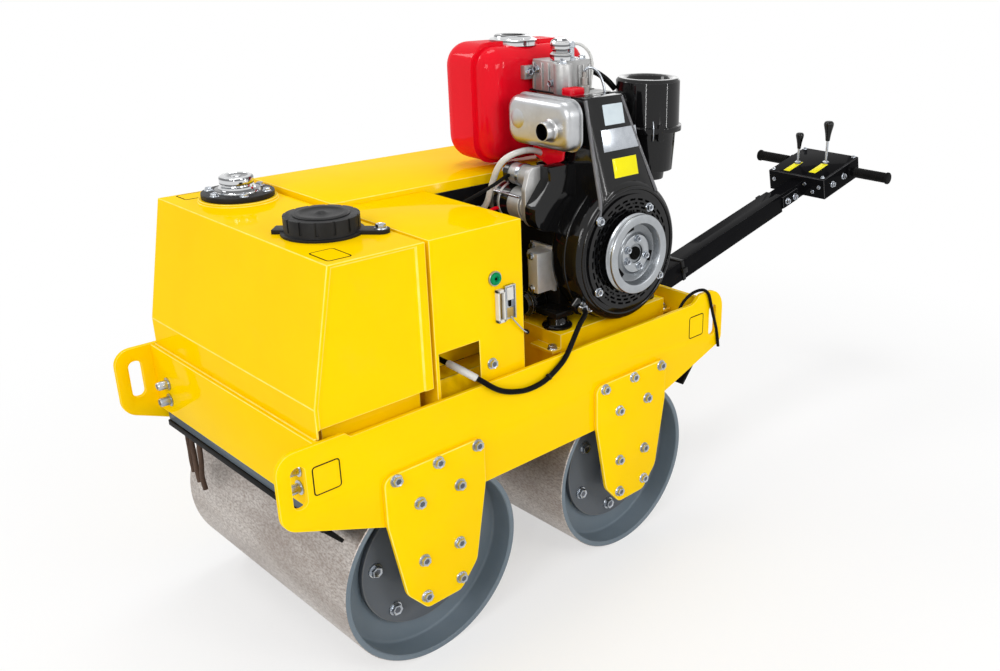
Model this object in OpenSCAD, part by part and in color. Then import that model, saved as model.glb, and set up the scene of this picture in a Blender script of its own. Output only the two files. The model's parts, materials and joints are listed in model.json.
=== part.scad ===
// Walk-behind roller with two steel drums, a water tank, an open diesel engine and a hinged tow arm.
// Millimetres, +X to the water tank, +Y to the engine's fan side, +Z up, the floor at z = 0.

/* [Drums] */
// Outside diameter of each drum
drum_d = 426; // [400:2:450]
// Length of each drum
drum_len = 650; // [560:5:700]
// Thickness of the drum's shell
drum_wall = 13; // [8:0.5:18]
// Distance between the two drum axles
wheelbase = 570; // [480:5:620]
// Diameter of the bolted disc in each drum end
disc_d = 296; // [260:2:330]
// Thickness of the bolted disc
disc_t = 14; // [8:1:20]
// Depth of the disc's face behind the drum's edge
disc_recess = 43; // [30:1:70]
// Inside diameter of the web that the disc is bolted to
web_bore_d = 200; // [160:2:230]
// Thickness of the web
web_t = 12; // [8:1:20]
// Diameter of the hub behind the disc
hub_d = 130; // [110:2:150]
// Depth of the hub behind the disc
hub_depth = 40; // [20:1:60]

/* [Axles] */
// Diameter of the stub axles
stub_d = 70; // [50:1:90]
// Radial running clearance of an axle in its hub
run_fit = 0.05; // [0.02:0.01:0.1]
// Diameter of the carrier that holds a stub axle
carrier_d = 136; // [110:2:150]
// Thickness of the carrier on the hanger's inner side
carrier_t = 34; // [15:1:42]

/* [Frame] */
// Clear distance between the drums' edges and the side plates
drum_side_gap = 5; // [5:0.5:12]
// Thickness of the side plates
plate_t = 10; // [6:0.5:16]
// Height of the side plates' top edge
plate_top = 581; // [560:1:610]
// Height of the side plates' bottom edge
plate_bottom = 360; // [330:1:400]
// Height of the front lifting eyes above the plates' top edge
front_eye_rise = 10; // [2:1:30]
// Height of the rear lifting eyes above the plates' top edge
rear_eye_rise = 20; // [6:1:40]
// Length of the raised edge over the front lifting eyes
front_eye_len = 138; // [100:1:160]
// Length of the raised edge over the rear lifting eyes
rear_eye_len = 91; // [80:1:120]
// Reach of the front lifting eyes past the front axle
front_eye_reach = 323; // [290:1:360]
// Reach of the rear lifting eyes past the rear axle
rear_eye_reach = 353; // [330:1:400]
// Width of a lifting slot
slot_w = 28; // [20:1:40]
// Height of a lifting slot
slot_h = 84; // [50:1:100]
// Distance of a slot's centre from the end of its eye
slot_inset = 40; // [30:1:55]
// Height of the slots' centre
slot_z = 519; // [500:1:530]
// Thickness of the cross beams
beam_t = 10; // [6:0.5:16]
// Height of the cross beams
beam_h = 150; // [120:1:170]
// Distance of the beams behind the ends of the eyes
beam_inset = 78; // [65:1:100]
// Thickness of the deck
deck_t = 8; // [5:0.5:12]
// Clear height of the deck above the drums
deck_gap = 20; // [10:1:30]

/* [Hangers] */
// Thickness of the hanger plates
hanger_t = 10; // [6:0.5:16]
// Half width of a hanger at its top
hanger_half_w = 120; // [100:1:135]
// Height of a hanger's top above the axle
hanger_rise = 260; // [235:1:275]
// Height of a hanger's shoulders above the axle
hanger_shoulder = 155; // [130:1:175]
// Half width of a hanger at the axle
hanger_waist = 88; // [80:1:100]
// Half width of a hanger's foot
hanger_foot = 43; // [30:1:60]
// Drop of a hanger's foot below the axle
hanger_drop = 73; // [66:1:90]

/* [Scrapers] */
// Thickness of the scraper angles
angle_t = 6; // [4:0.5:10]
// Height that a scraper angle shows below its beam
angle_drop = 30; // [15:1:35]
// Thickness of the rubber strips
rubber_t = 14; // [8:1:18]
// Clearance between the rubber and the drum
rubber_gap = 6; // [5:0.5:12]
// Gap between the ends of a scraper and the side plates
scraper_end_gap = 12; // [5:1:40]

/* [Water tank] */
// Gap between the tank's sides and the inside of the side plates
tank_side_gap = 2; // [1:0.5:12]
// Height of the tank's top
tank_top = 905; // [860:1:950]
// Height of the bend in the tank's front
tank_bend_z = 649; // [630:1:700]
// Height of the tank's lower edge at the sides
tank_low = 607; // [600:1:620]
// Length of the tank's top
tank_top_len = 202; // [180:1:240]
// Slope of the tank's front, measured along X
tank_lean = 52; // [30:1:80]
// Thickness of the tank's walls
tank_wall = 4; // [3:0.5:6]
// Inset of the base under the tank
base_inset = 20; // [10:1:40]
// Diameter of the water cap
water_cap_d = 140; // [110:2:150]
// Height of the water cap
water_cap_h = 36; // [20:1:50]
// Diameter of the filler flange
filler_d = 146; // [110:2:150]
// Diameter of the breather cap
breather_d = 76; // [50:1:90]

/* [Covers] */
// Gap between the tank and the covers
cover_gap = 10; // [5:1:20]
// Thickness of the covers
cover_wall = 3; // [2:0.5:5]
// Length of the near side cover
cover_len = 226; // [200:1:250]
// Gap between the covers' sides and the inside of the side plates
cover_side_gap = 5; // [3:0.5:20]
// Height of the hood above the side cover
hood_rise = 10; // [4:1:30]
// Length of the hood
hood_len = 690; // [600:5:720]
// Length of the cable opening in the side cover
port_len = 100; // [60:1:120]
// Height of the cable opening's top
port_top = 673; // [640:1:700]

/* [Engine] */
// Distance of the engine's crankshaft in front of the rear beam
crank_gap = 218; // [212:1:240]
// Height of the crankshaft
crank_z = 746; // [740:1:752]
// Height of the engine tray
tray_z = 575; // [565:1:576]
// Thickness of the engine tray
tray_t = 8; // [5:0.5:12]
// Height of the rubber feet
foot_h = 27; // [20:1:35]
// Diameter of the rubber feet
foot_d = 72; // [50:1:80]
// Radius of the fan shroud
shroud_r = 169; // [158:1:170]
// Front face of the fan shroud, from the middle of the machine
shroud_y = 280; // [270:1:285]
// Depth of the fan shroud
shroud_depth = 114; // [90:1:120]
// Height of the shroud's neck above the crankshaft
neck_rise = 359; // [340:1:370]
// Diameter of the start pulley
pulley_d = 190; // [160:1:200]
// Width of the start pulley's rim
pulley_w = 25; // [20:1:30]
// Diameter of the crankshaft's end
crank_d = 36; // [25:1:45]
// Length of the muffler
muffler_len = 205; // [195:1:225]
// Height of the muffler
muffler_h = 109; // [90:1:120]
// Depth of the muffler
muffler_depth = 50; // [42:1:54]
// Outside diameter of the exhaust outlet
outlet_d = 42; // [34:1:50]
// Wall of the exhaust outlet
outlet_wall = 3; // [2:0.5:4]
// Length of the fuel tank
fuel_len = 331; // [300:1:345]
// Width of the fuel tank
fuel_w = 176; // [150:1:185]
// Height of the fuel tank
fuel_h = 273; // [240:1:275]
// Corner radius of the fuel tank
fuel_r = 48; // [30:1:55]
// Diameter of the air cleaner
cleaner_d = 158; // [130:1:165]
// Height of the air cleaner's upper bowl
cleaner_h = 121; // [100:1:130]
// Diameter of the starter motor
starter_d = 80; // [70:1:84]

/* [Handle] */
// Width and height of the arm's square tube
arm_w = 60; // [50:1:70]
// Wall of the arm's tube
arm_wall = 5; // [3:0.5:8]
// Slope of the arm as it rests
arm_tilt = 13; // [8:0.5:20]
// Distance of the arm's pivot behind the rear beam
pivot_back = 46; // [42:1:60]
// Height of the arm's pivot
pivot_z = 468; // [455:1:485]
// Diameter of the pivot pin
pin_d = 24; // [16:1:30]
// Distance from the pivot to the control box
arm_len = 890; // [800:5:1000]
// Length of the control box
box_len = 216; // [180:1:240]
// Width of the control box
box_w = 220; // [180:1:260]
// Height of the control box
box_h = 69; // [55:1:80]
// Wall of the control box
box_wall = 4; // [2:0.5:6]
// Width over the ends of the two grips
grip_span = 524; // [440:2:600]
// Diameter of the grips
grip_d = 34; // [28:1:40]
// Diameter of the handle bar
bar_d = 24; // [18:1:26]

/* [Hidden] */
$fn = 64;
tiny = 0.01;
half_base = wheelbase / 2;
axle_z = drum_d / 2;
drum_r = drum_d / 2;
drum_half = drum_len / 2;
plate_in = drum_half + drum_side_gap;
plate_out = plate_in + plate_t;
hanger_out = plate_out + hanger_t;
front_x = half_base + front_eye_reach;
rear_x = -half_base - rear_eye_reach;
front_beam_x = front_x - beam_inset;
rear_beam_x = rear_x + beam_inset;
beam_top = plate_top + 9;
beam_bottom = beam_top - beam_h;
deck_z = drum_d + deck_gap;
deck_top = deck_z + deck_t;

tank_half_w = plate_in - tank_side_gap;
cover_half_w = plate_in - cover_side_gap;
tank_front = front_beam_x - beam_t - tank_side_gap;
tank_rear = tank_front - tank_lean - tank_top_len;
cover_front = tank_rear - cover_gap;
cover_rear = cover_front - cover_len;
hood_top = tank_top + hood_rise;
hood_y = -1;
hood_rear = cover_front - hood_len;

crank_x = rear_beam_x + crank_gap;
tray_reach = 186;
tray_gap = 4;
flange_w = 26;
tray_front = crank_x + tray_reach;
tray_rear = rear_beam_x + beam_t + tray_gap + flange_w;
tray_out = 240;
tray_in = 4;
block_half = 120;
block_low = tray_z + foot_h;
block_front = crank_x + block_half;
block_rear = crank_x - block_half;
block_back = 14;
shroud_back = shroud_y - shroud_depth;
block_rise = 130;
cylinder_h = 130;
head_h = 95;
deck_of_block = crank_z + block_rise;
head_low = deck_of_block + cylinder_h;
head_top = head_low + head_h;
head_reach = 57;
head_tail = 63;
head_front = crank_x + head_reach;
head_rear = crank_x - head_tail;
head_y0 = 32;
head_y1 = 158;
grille_t = 5;
pulley_gap = 6;
pulley_back = shroud_y + grille_t + pulley_gap;
muffler_reach = 117;
muffler_back = crank_x + muffler_reach;
muffler_y0 = 48;
muffler_z0 = head_top - muffler_h + 3;
outlet_y = 195;
outlet_rise = 44;
outlet_z = muffler_z0 + outlet_rise;
outlet_len = 25;
fuel_reach = 193;
fuel_rise = 186;
fuel_front = crank_x + fuel_reach;
fuel_y1 = 16;
fuel_seam_in = 52;
fuel_cap_in = 75;
fuel_z0 = crank_z + fuel_rise;
cleaner_back = 203;
cleaner_rise = 255;
cleaner_x = crank_x - cleaner_back;
cleaner_y = 150;
cleaner_z = crank_z + cleaner_rise;
starter_reach = 172;
starter_rise = 116;
starter_x = crank_x + starter_reach;
starter_z = crank_z + starter_rise;

pivot_x = rear_beam_x - pivot_back;
box_drop = 26;
end_x = pivot_x - (arm_len + box_len) * cos(arm_tilt) - box_drop * sin(arm_tilt);
mid_x = (front_x + end_x) / 2;

yellow = "gold";
black = "#1a1a1c";
steel = "#8d8680";
zinc = "silver";
red = "#d8142a";
grey_blue = "#5f6b75";

// Arc that rounds corner b of the path a, b, c with radius r
function fillet(a, b, c, r, steps = 8) =
    let (u = (a - b) / norm(a - b), v = (c - b) / norm(c - b),
         half = acos(u * v) / 2, back = r / tan(half),
         mid = (u + v) / norm(u + v), o = b + mid * r / sin(half),
         s = b + u * back - o, e = b + v * back - o,
         turn = atan2(s.x * e.y - s.y * e.x, s * e))
    [for (i = [0 : steps]) let (t = turn * i / steps)
        o + [s.x * cos(t) - s.y * sin(t), s.x * sin(t) + s.y * cos(t)]];

// Closed path through rows of [x, y, corner radius]
function rounded(rows) =
    let (n = len(rows), at = function (i) [rows[(i + n) % n].x, rows[(i + n) % n].y])
    [for (i = [0 : n - 1]) each rows[i][2] > 0 ?
        fillet(at(i - 1), at(i), at(i + 1), rows[i][2]) : [at(i)]];

function block_path(x0, y0, x1, y1, r) = rounded([[x0, y0, r], [x1, y0, r], [x1, y1, r], [x0, y1, r]]);

// Moves the design frame to the middle of the machine's length
module placed() { translate([-mid_x, 0, 0]) children(); }

// Extrudes an XZ outline from y0 to y1
module across(y0, y1) { translate([0, y1, 0]) rotate([90, 0, 0]) linear_extrude(y1 - y0) children(); }

// Extrudes a YZ outline from x0 to x1
module along(x0, x1) { translate([x0, 0, 0]) rotate([90, 0, 90]) linear_extrude(x1 - x0) children(); }

// Extrudes an XY outline from z0 to z1
module rise(z0, z1) { translate([0, 0, z0]) linear_extrude(z1 - z0) children(); }

// Round bar along Y
module bar_y(x, z, d, y0, y1) { translate([x, y0, z]) rotate([-90, 0, 0]) cylinder(d = d, h = y1 - y0); }

// Round bar along X
module bar_x(y, z, d, x0, x1) { translate([x0, y, z]) rotate([0, 90, 0]) cylinder(d = d, h = x1 - x0); }

module box(x0, x1, y0, y1, z0, z1) { translate([x0, y0, z0]) cube([x1 - x0, y1 - y0, z1 - z0]); }

// Copies its children on the left and on the right
module both_sides() {
    children();
    mirror([0, 1, 0]) children();
}

front_eye_step = 11;
rear_eye_step = 27;
front_eye_drop = 134;
rear_eye_drop = 130;
belly_front = 111;
belly_rear = 79;

// Outline of one side plate with its two lifting slots, in XZ
module plate_outline() {
    difference() {
        polygon(rounded([
            [front_x, plate_top + front_eye_rise, 36],
            [front_x - front_eye_len, plate_top + front_eye_rise, 4],
            [front_x - front_eye_len - front_eye_step, plate_top, 4],
            [rear_x + rear_eye_len + rear_eye_step, plate_top, 30],
            [rear_x + rear_eye_len, plate_top + rear_eye_rise, 20],
            [rear_x, plate_top + rear_eye_rise, 56],
            [rear_x, plate_top - rear_eye_drop, 24],
            [-half_base - belly_rear, plate_bottom, 30],
            [half_base + belly_front, plate_bottom, 30],
            [front_x, plate_top - front_eye_drop, 40]]));
        for (x = [front_x - slot_inset, rear_x + slot_inset])
            polygon(block_path(x - slot_w / 2, slot_z - slot_h / 2,
                x + slot_w / 2, slot_z + slot_h / 2, slot_w / 2 - 1));
    }
}

module side_plate_left() { color(yellow) placed() across(plate_in, plate_out) plate_outline(); }
module side_plate_right() { color(yellow) placed() across(-plate_out, -plate_in) plate_outline(); }

module front_beam() {
    color(yellow) placed()
        box(front_beam_x - beam_t, front_beam_x, -plate_in, plate_in, beam_bottom, beam_top);
}

module rear_beam() {
    color(yellow) placed()
        box(rear_beam_x, rear_beam_x + beam_t, -plate_in, plate_in, beam_bottom, beam_top);
}

module deck() {
    color(yellow) placed()
        box(rear_beam_x + beam_t + angle_t, front_beam_x - beam_t - angle_t, -plate_in, plate_in,
            deck_z, deck_top);
}

// One hanger plate under the side plate at axle x
module hanger(x, side) {
    color(yellow) placed() translate([x, 0, axle_z])
        across(side > 0 ? plate_out : -hanger_out, side > 0 ? hanger_out : -plate_out)
            polygon(rounded([
                [hanger_half_w, hanger_rise, 20], [-hanger_half_w, hanger_rise, 20],
                [-hanger_half_w, hanger_shoulder, 40], [-hanger_waist, -20, 40],
                [-hanger_foot, -hanger_drop, 20], [hanger_foot, -hanger_drop, 20],
                [hanger_waist, -20, 40], [hanger_half_w, hanger_shoulder, 40]]));
}

module hanger_front_left() { hanger(half_base, 1); }
module hanger_front_right() { hanger(half_base, -1); }
module hanger_rear_left() { hanger(-half_base, 1); }
module hanger_rear_right() { hanger(-half_base, -1); }

// Carrier and stub axle on the inner side of each hanger
module axles(x) {
    color(steel) placed() both_sides() {
        bar_y(x, axle_z, carrier_d, plate_out - carrier_t, plate_out);
        bar_y(x, axle_z, stub_d, drum_half - disc_recess - disc_t - hub_depth, plate_out - carrier_t + tiny);
    }
}

module front_axles() { axles(half_base); }
module rear_axles() { axles(-half_base); }

// Drum shell with the web that carries the disc at each end, turned about its axle
module drum(x) {
    web_out = drum_half - disc_recess - disc_t;
    color(steel) placed() translate([x, 0, axle_z]) rotate([-90, 0, 0]) rotate_extrude() {
        translate([drum_r - drum_wall, -drum_half]) square([drum_wall, drum_len]);
        for (y = [-web_out, web_out - web_t])
            translate([web_bore_d / 2, y]) square([drum_r - drum_wall - web_bore_d / 2 + tiny, web_t]);
    }
}

module front_drum() { drum(half_base); }
module rear_drum() { drum(-half_base); }

// Bolted disc and hub at each drum end, bored for the stub axle
module discs(x) {
    face = drum_half - disc_recess;
    bore = stub_d / 2 + run_fit;
    color(grey_blue) placed() translate([x, 0, axle_z]) rotate([-90, 0, 0])
        for (m = [0, 1]) mirror([0, 0, m]) rotate_extrude() {
            translate([bore, face - disc_t]) square([disc_d / 2 - bore, disc_t]);
            translate([bore, face - disc_t - hub_depth]) square([hub_d / 2 - bore, hub_depth + tiny]);
        }
}

module front_discs() { discs(half_base); }
module rear_discs() { discs(-half_base); }

// Scraper angle under a beam, with its foot towards the drum
module scraper(beam_face, way) {
    end_y = plate_in - scraper_end_gap;
    low = beam_bottom - angle_drop;
    color(grey_blue) placed() translate([beam_face, 0, 0]) mirror([way < 0 ? 1 : 0, 0, 0])
        across(-end_y, end_y) polygon([[0, beam_bottom + 40], [0, low], [-70, low], [-70, low + angle_t],
            [-angle_t, low + angle_t], [-angle_t, beam_bottom + 40]]);
}

module front_scraper() { scraper(front_beam_x - beam_t, 1); }
module rear_scraper() { scraper(rear_beam_x + beam_t, -1); }

// Rubber strip that wipes the drum, seated under the scraper angle
module rubber(beam_face, axle, way) {
    end_y = plate_in - scraper_end_gap;
    high = beam_bottom - angle_drop;
    low = high - rubber_t;
    reach = sqrt(pow(drum_r + rubber_gap, 2) - pow(low - axle_z, 2));
    inner = axle + way * reach;
    outer = beam_face + way * 4;
    color(black) placed() box(min(inner, outer), max(inner, outer), -end_y, end_y, low, high);
}

module front_rubber() { rubber(front_beam_x - beam_t, half_base, 1); }
module rear_rubber() { rubber(rear_beam_x + beam_t, -half_base, -1); }

tine_w = 12;
tine_t = 6;
tine_x = front_beam_x - 22;
// Tines that hang under the front rubber: [y, length]
tine_rows = [[-262, 104], [-240, 122], [-213, 130]];

module scraper_tines() {
    high = beam_bottom - angle_drop - rubber_t;
    color("#4a3626") placed() {
        for (row = tine_rows)
            box(tine_x - tine_t / 2, tine_x + tine_t / 2, row[0] - tine_w / 2, row[0] + tine_w / 2,
                high - row[1], high);
        box(tine_x - tine_t / 2, tine_x + tine_t / 2, tine_rows[0][0] - tine_w / 2,
            tine_rows[2][0] + tine_w / 2, high - 16, high);
    }
}

water_cap_back = 96;
water_cap_side = 187;
water_cap_x = tank_rear + water_cap_back;
water_cap_y = tank_half_w - water_cap_side;
filler_back = 85;
filler_side = 121;
filler_x = tank_rear + filler_back;
filler_y = -tank_half_w + filler_side;
neck_d = 60;
boss_h = 6;
boss_rim = 6;
panel_depth = 3;
front_lip = 8;
rear_strip = 20;
top_lip = 6;

// Side outline of the tank, shrunk by w on every wall
module tank_outline(w) {
    polygon([[tank_rear + w, tank_low + w], [tank_rear + w, tank_top - w],
        [tank_rear + tank_top_len - w * 0.9, tank_top - w],
        [tank_front - w, tank_bend_z], [tank_front - w, tank_low + w]]);
}

// Side panel between the tank's front lip, top lip and rear strip
module panel_outline() {
    polygon([[tank_rear + rear_strip, tank_low - 1], [tank_rear + rear_strip, tank_top - top_lip],
        [tank_rear + tank_top_len - front_lip, tank_top - top_lip],
        [tank_front - front_lip, tank_bend_z], [tank_front - front_lip, tank_low - 1]]);
}

module water_tank() {
    inside = tank_half_w - panel_depth - tank_wall;
    color(yellow) placed() difference() {
        union() {
            across(-tank_half_w, tank_half_w) tank_outline(0);
            box(tank_front - tank_wall, tank_front, -tank_half_w, tank_half_w, beam_top + 1, tank_low + tiny);
            translate([filler_x, filler_y, tank_top - tiny])
                cylinder(d = filler_d + 2 * boss_rim, h = boss_h + tiny);
        }
        across(-inside, inside) tank_outline(tank_wall);
        both_sides() across(tank_half_w - panel_depth, tank_half_w + 1) panel_outline();
        translate([water_cap_x, water_cap_y, tank_top - 2 * tank_wall])
            cylinder(d = neck_d, h = 3 * tank_wall);
    }
}

module tank_base() {
    color(yellow) placed() difference() {
        box(tank_rear + base_inset, tank_front - base_inset, -tank_half_w + base_inset,
            tank_half_w - base_inset, deck_top, tank_low);
        box(tank_rear + base_inset + tank_wall, tank_front - base_inset - tank_wall,
            -tank_half_w + base_inset + tank_wall, tank_half_w - base_inset - tank_wall,
            deck_top - 1, tank_low - tank_wall);
    }
}

lug_w = 34;
lug_reach = 108;
lug_t = 8;
cap_rim = 7;
cap_rim_h = 5;
grip_count = 14;
groove_w = 5;
groove_depth = 3;

// Screwed water cap with grip grooves, a dished top and the lug of its strap
module water_cap() {
    r = water_cap_d / 2;
    h = water_cap_h;
    color(black) placed() translate([water_cap_x, water_cap_y, tank_top]) {
        difference() {
            rotate_extrude() polygon([[0, 0], [r + cap_rim, 0], [r + cap_rim, cap_rim_h], [r, cap_rim_h],
                [r, h], [r * 0.72, h], [r * 0.68, h - 4], [r * 0.4, h - 4], [r * 0.37, h - 1], [0, h - 1]]);
            for (i = [0 : grip_count - 1]) rotate(360 * i / grip_count)
                translate([r - groove_depth, -groove_w / 2, lug_t + 3]) cube([2 * groove_depth, groove_w, h]);
        }
        rotate(135) {
            translate([0, -lug_w / 2, 0]) cube([lug_reach, lug_w, lug_t]);
            translate([lug_reach, 0, 0]) cylinder(d = lug_w, h = lug_t);
        }
        rotate(-45) translate([0, -lug_w / 2, 0]) cube([r + 3 * cap_rim, lug_w, lug_t]);
    }
}

filler_h = 12;
breather_h = 34;

module filler_flange() {
    color(black) placed() translate([filler_x, filler_y, tank_top + boss_h])
        cylinder(d = filler_d, h = filler_h);
}

// Breather: a domed foot, a neck and a dished cap
module breather_cap() {
    r = breather_d / 2;
    h = breather_h;
    color(zinc) placed() translate([filler_x, filler_y, tank_top + boss_h + filler_h]) rotate_extrude()
        polygon([[0, 0], [r * 1.2, 0], [r * 1.2, 3], [r * 1.05, 7], [r * 0.85, 10], [r * 0.8, 14],
            [r * 0.94, 14], [r, 17], [r, h - 4], [r * 0.9, h], [r * 0.62, h], [r * 0.5, h - 4], [0, h - 4]]);
}

// Near cover: a sheet box open below and towards the hood, with the cable opening at its front
module side_cover() {
    color(yellow) placed() difference() {
        box(cover_rear, cover_front, hood_y, cover_half_w, deck_top, tank_top);
        box(cover_rear + cover_wall, cover_front - cover_wall, hood_y - 1, cover_half_w - cover_wall,
            deck_top - 1, tank_top - cover_wall);
        box(cover_front - 8 - port_len, cover_front - 8, cover_half_w - 2 * cover_wall, cover_half_w + 1,
            deck_top - 1, port_top);
    }
}

module hood() {
    color(yellow) placed() difference() {
        box(hood_rear, cover_front, -cover_half_w, hood_y, deck_top, hood_top);
        box(hood_rear + cover_wall, cover_front - cover_wall, -cover_half_w + cover_wall, hood_y - cover_wall,
            deck_top - 1, hood_top - cover_wall);
    }
}

lamp_d = 30;

module lamp() {
    r = lamp_d / 2;
    color("green") placed() translate([cover_rear + 74, cover_half_w, tank_top - 110]) rotate([-90, 0, 0])
        rotate_extrude() polygon([[0, 0], [r, 0], [r, 4], [r * 0.8, 8], [r * 0.5, 8], [r * 0.4, 5], [0, 5]]);
}

module latch() {
    color(zinc) placed() {
        box(cover_rear + 24, cover_rear + 52, cover_half_w, cover_half_w + 3, tank_top - 207, tank_top - 133);
        box(cover_rear + 42, cover_rear + 70, cover_half_w, cover_half_w + 14,
            tank_top - 213, tank_top - 143);
    }
}

battery_size = [130, 190, 200];

// Battery on the deck inside the side cover
module battery() {
    color(black) placed() translate([cover_rear + 62, hood_y + 11, deck_top]) cube(battery_size);
}

// Engine tray: a bent sheet open below
flange_drop = 42;

module engine_tray() {
    color(yellow) placed() {
        difference() {
            box(tray_rear, tray_front, tray_in, tray_out, deck_top, tray_z);
            box(tray_rear + tray_t, tray_front - tray_t, tray_in + tray_t, tray_out - tray_t, deck_top - 1,
                tray_z - tray_t);
        }
        for (x = [tray_front - tiny, tray_rear - flange_w + tiny])
            box(x, x + flange_w, tray_out - 3 * flange_w, tray_out,
                tray_z - flange_drop, tray_z - flange_drop + tray_t);
    }
}

foot_reach = 150;
foot_tail = 142;
foot_inset = 42;
foot_x = [crank_x + foot_reach, crank_x - foot_tail];
foot_y = [tray_in + foot_inset, tray_out - foot_inset - 8];

module engine_feet() {
    color(black) placed() for (x = foot_x, y = foot_y) translate([x, y, tray_z]) {
        cylinder(d = foot_d, h = foot_h / 2);
        cylinder(d = foot_d * 0.7, h = foot_h);
    }
}

base_t = 14;
ear = 24;
cylinder_d = 116;
fin_count = 7;
fin_t = 5;
fin_half = 62;
fin_y0 = 22;
fin_y1 = 158;

// Crankcase on its base plate, with the finned cylinder on top
module engine_block() {
    color(black) placed() difference() {
        union() {
            box(block_rear, block_front, block_back, shroud_back, block_low, block_low + base_t);
            for (x = foot_x, row = [[block_back, foot_y[0] + ear], [shroud_back - ear, foot_y[1] + ear]])
                box(min(x - ear, block_front - 1), max(x + ear, block_rear + 1), row[0], row[1], block_low,
                    block_low + base_t);
            across(block_back, shroud_back) polygon(rounded([
                [block_front, block_low + base_t - tiny, 0], [block_front, deck_of_block, 40],
                [block_rear, deck_of_block, 40], [block_rear, block_low + base_t - tiny, 0]]));
            translate([crank_x, (head_y0 + head_y1) / 2, deck_of_block - tiny])
                cylinder(d = cylinder_d, h = cylinder_h + tiny);
            for (i = [1 : fin_count]) let (z = deck_of_block + i * cylinder_h / (fin_count + 1))
                rise(z - fin_t / 2, z + fin_t / 2)
                    polygon(block_path(crank_x - fin_half, fin_y0, crank_x + fin_half, fin_y1, 14));
        }
        bar_y(crank_x, crank_z, crank_d + 2 * run_fit, shroud_back - 60, shroud_back + 1);
    }
}

rocker_h = 70;
rocker_y0 = 22;
rocker_y1 = 108;
post_d = 44;
oil_cap_d = 44;
oil_cap_h = 50;
tank_lug_w = 30;

// Cylinder head with the rocker cover, its round post, the oil cap and the lug that holds the fuel tank
module cylinder_head() {
    r = oil_cap_d / 2;
    lug_z = head_top + 26;
    color(zinc) placed() {
        box(head_rear, head_front, head_y0, head_y1, head_low, head_top);
        rise(head_top - tiny, head_top + rocker_h)
            polygon(block_path(head_rear + 10, rocker_y0, head_front + 8, rocker_y1, 12));
        translate([head_front - 4, rocker_y1 + 10, head_top - tiny]) cylinder(d = post_d, h = rocker_h - 3);
        box(head_front + 8 - tiny, head_front + 34, fuel_y1, fuel_y1 + 14, lug_z, lug_z + tank_lug_w);
        box(head_front - 4, head_front + 8, fuel_y1, rocker_y0 + 4, lug_z, lug_z + tank_lug_w);
        translate([crank_x + 30, rocker_y1 - 22, head_top + rocker_h - tiny]) rotate_extrude()
            polygon([[0, 0], [r * 1.1, 0], [r * 1.1, oil_cap_h * 0.3], [r * 0.8, oil_cap_h * 0.4],
                [r * 0.8, oil_cap_h * 0.48], [r, oil_cap_h * 0.54], [r, oil_cap_h * 0.84],
                [r * 0.6, oil_cap_h], [0, oil_cap_h]]);
    }
}

neck_low = [crank_x - 118, crank_x + 96];
neck_high = [crank_x - 25, crank_x + 94];
shoulder_r = 16;
clamp_turn = 36;
clamp_reach = 192;
clamp_w = 34;
clamp_t = 16;

back_taper = 29;
back_round = 24;
ear_t = 34;
ear_half = 48;
ear_round = 40;

// Fan shroud: a round housing with an ear for the starter and a leaning neck that ducts air to the cylinder
module fan_shroud() {
    color(black) placed() difference() {
        union() {
            translate([crank_x, 0, crank_z]) rotate([-90, 0, 0]) rotate_extrude()
                polygon(rounded([[0, shroud_back, 0], [shroud_r - back_taper, shroud_back, 0],
                    [shroud_r, shroud_back + back_taper, back_round],
                    [shroud_r, shroud_y, shoulder_r], [0, shroud_y, 0]]));
            across(shroud_back, shroud_back + ear_t) polygon(rounded([
                [starter_x - ear_half, starter_z - ear_half, ear_round],
                [starter_x + ear_half, starter_z - ear_half, ear_round],
                [starter_x + ear_half, starter_z + 10, ear_round / 2],
                [starter_x, starter_z + solenoid_rise, ear_round / 2],
                [starter_x - ear_half, starter_z + solenoid_rise + solenoid_d / 2, 0]]));
            across(shroud_back, shroud_back + ear_t) polygon([[crank_x, crank_z], [starter_x, starter_z - 50],
                [starter_x, starter_z + 96], [crank_x, starter_z + 96]]);
            translate([crank_x, 0, crank_z]) rotate([0, clamp_turn, 0])
                box(shroud_r - 40, clamp_reach, shroud_y - clamp_t - shoulder_r, shroud_y - shoulder_r,
                    -clamp_w / 2, clamp_w / 2);
            intersection() {
                across(shroud_back, shroud_y + 10) polygon([
                    [neck_low[0], crank_z + 60], [neck_low[1], crank_z + 60],
                    [neck_high[1], crank_z + neck_rise], [neck_high[0], crank_z + neck_rise]]);
                along(neck_low[0] - 1, neck_low[1] + 1) polygon([[shroud_back, crank_z], [shroud_y, crank_z],
                    [shroud_y, crank_z + 130], [shroud_y - 50, crank_z + neck_rise],
                    [shroud_back + 20, crank_z + neck_rise], [shroud_back, crank_z + 130]]);
            }
        }
        bar_y(crank_x, crank_z, 90, shroud_back - 1, shroud_y + 1);
        bar_y(crank_x, crank_z, 2 * grille_r - 20, shroud_y - 30, shroud_y + 1);
    }
}

grille_r = 138;
grille_hole_d = 90;
// Rings of grille slots: [radius, slot count]
grille_rings = [[108, 20], [122, 24]];

// Pressed grille in front of the fan, with two rings of slots
module fan_grille() {
    color(black) placed() difference() {
        bar_y(crank_x, crank_z, 2 * grille_r, shroud_y, shroud_y + grille_t);
        bar_y(crank_x, crank_z, grille_hole_d, shroud_y - 1, shroud_y + grille_t + 1);
        for (ring = grille_rings, i = [0 : ring[1] - 1])
            translate([crank_x, 0, crank_z]) rotate([0, 360 * i / ring[1], 0])
                box(-9, 9, shroud_y - 1, shroud_y + grille_t + 1, ring[0] - 4, ring[0] + 4);
    }
}

pulley_web = 6;

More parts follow.
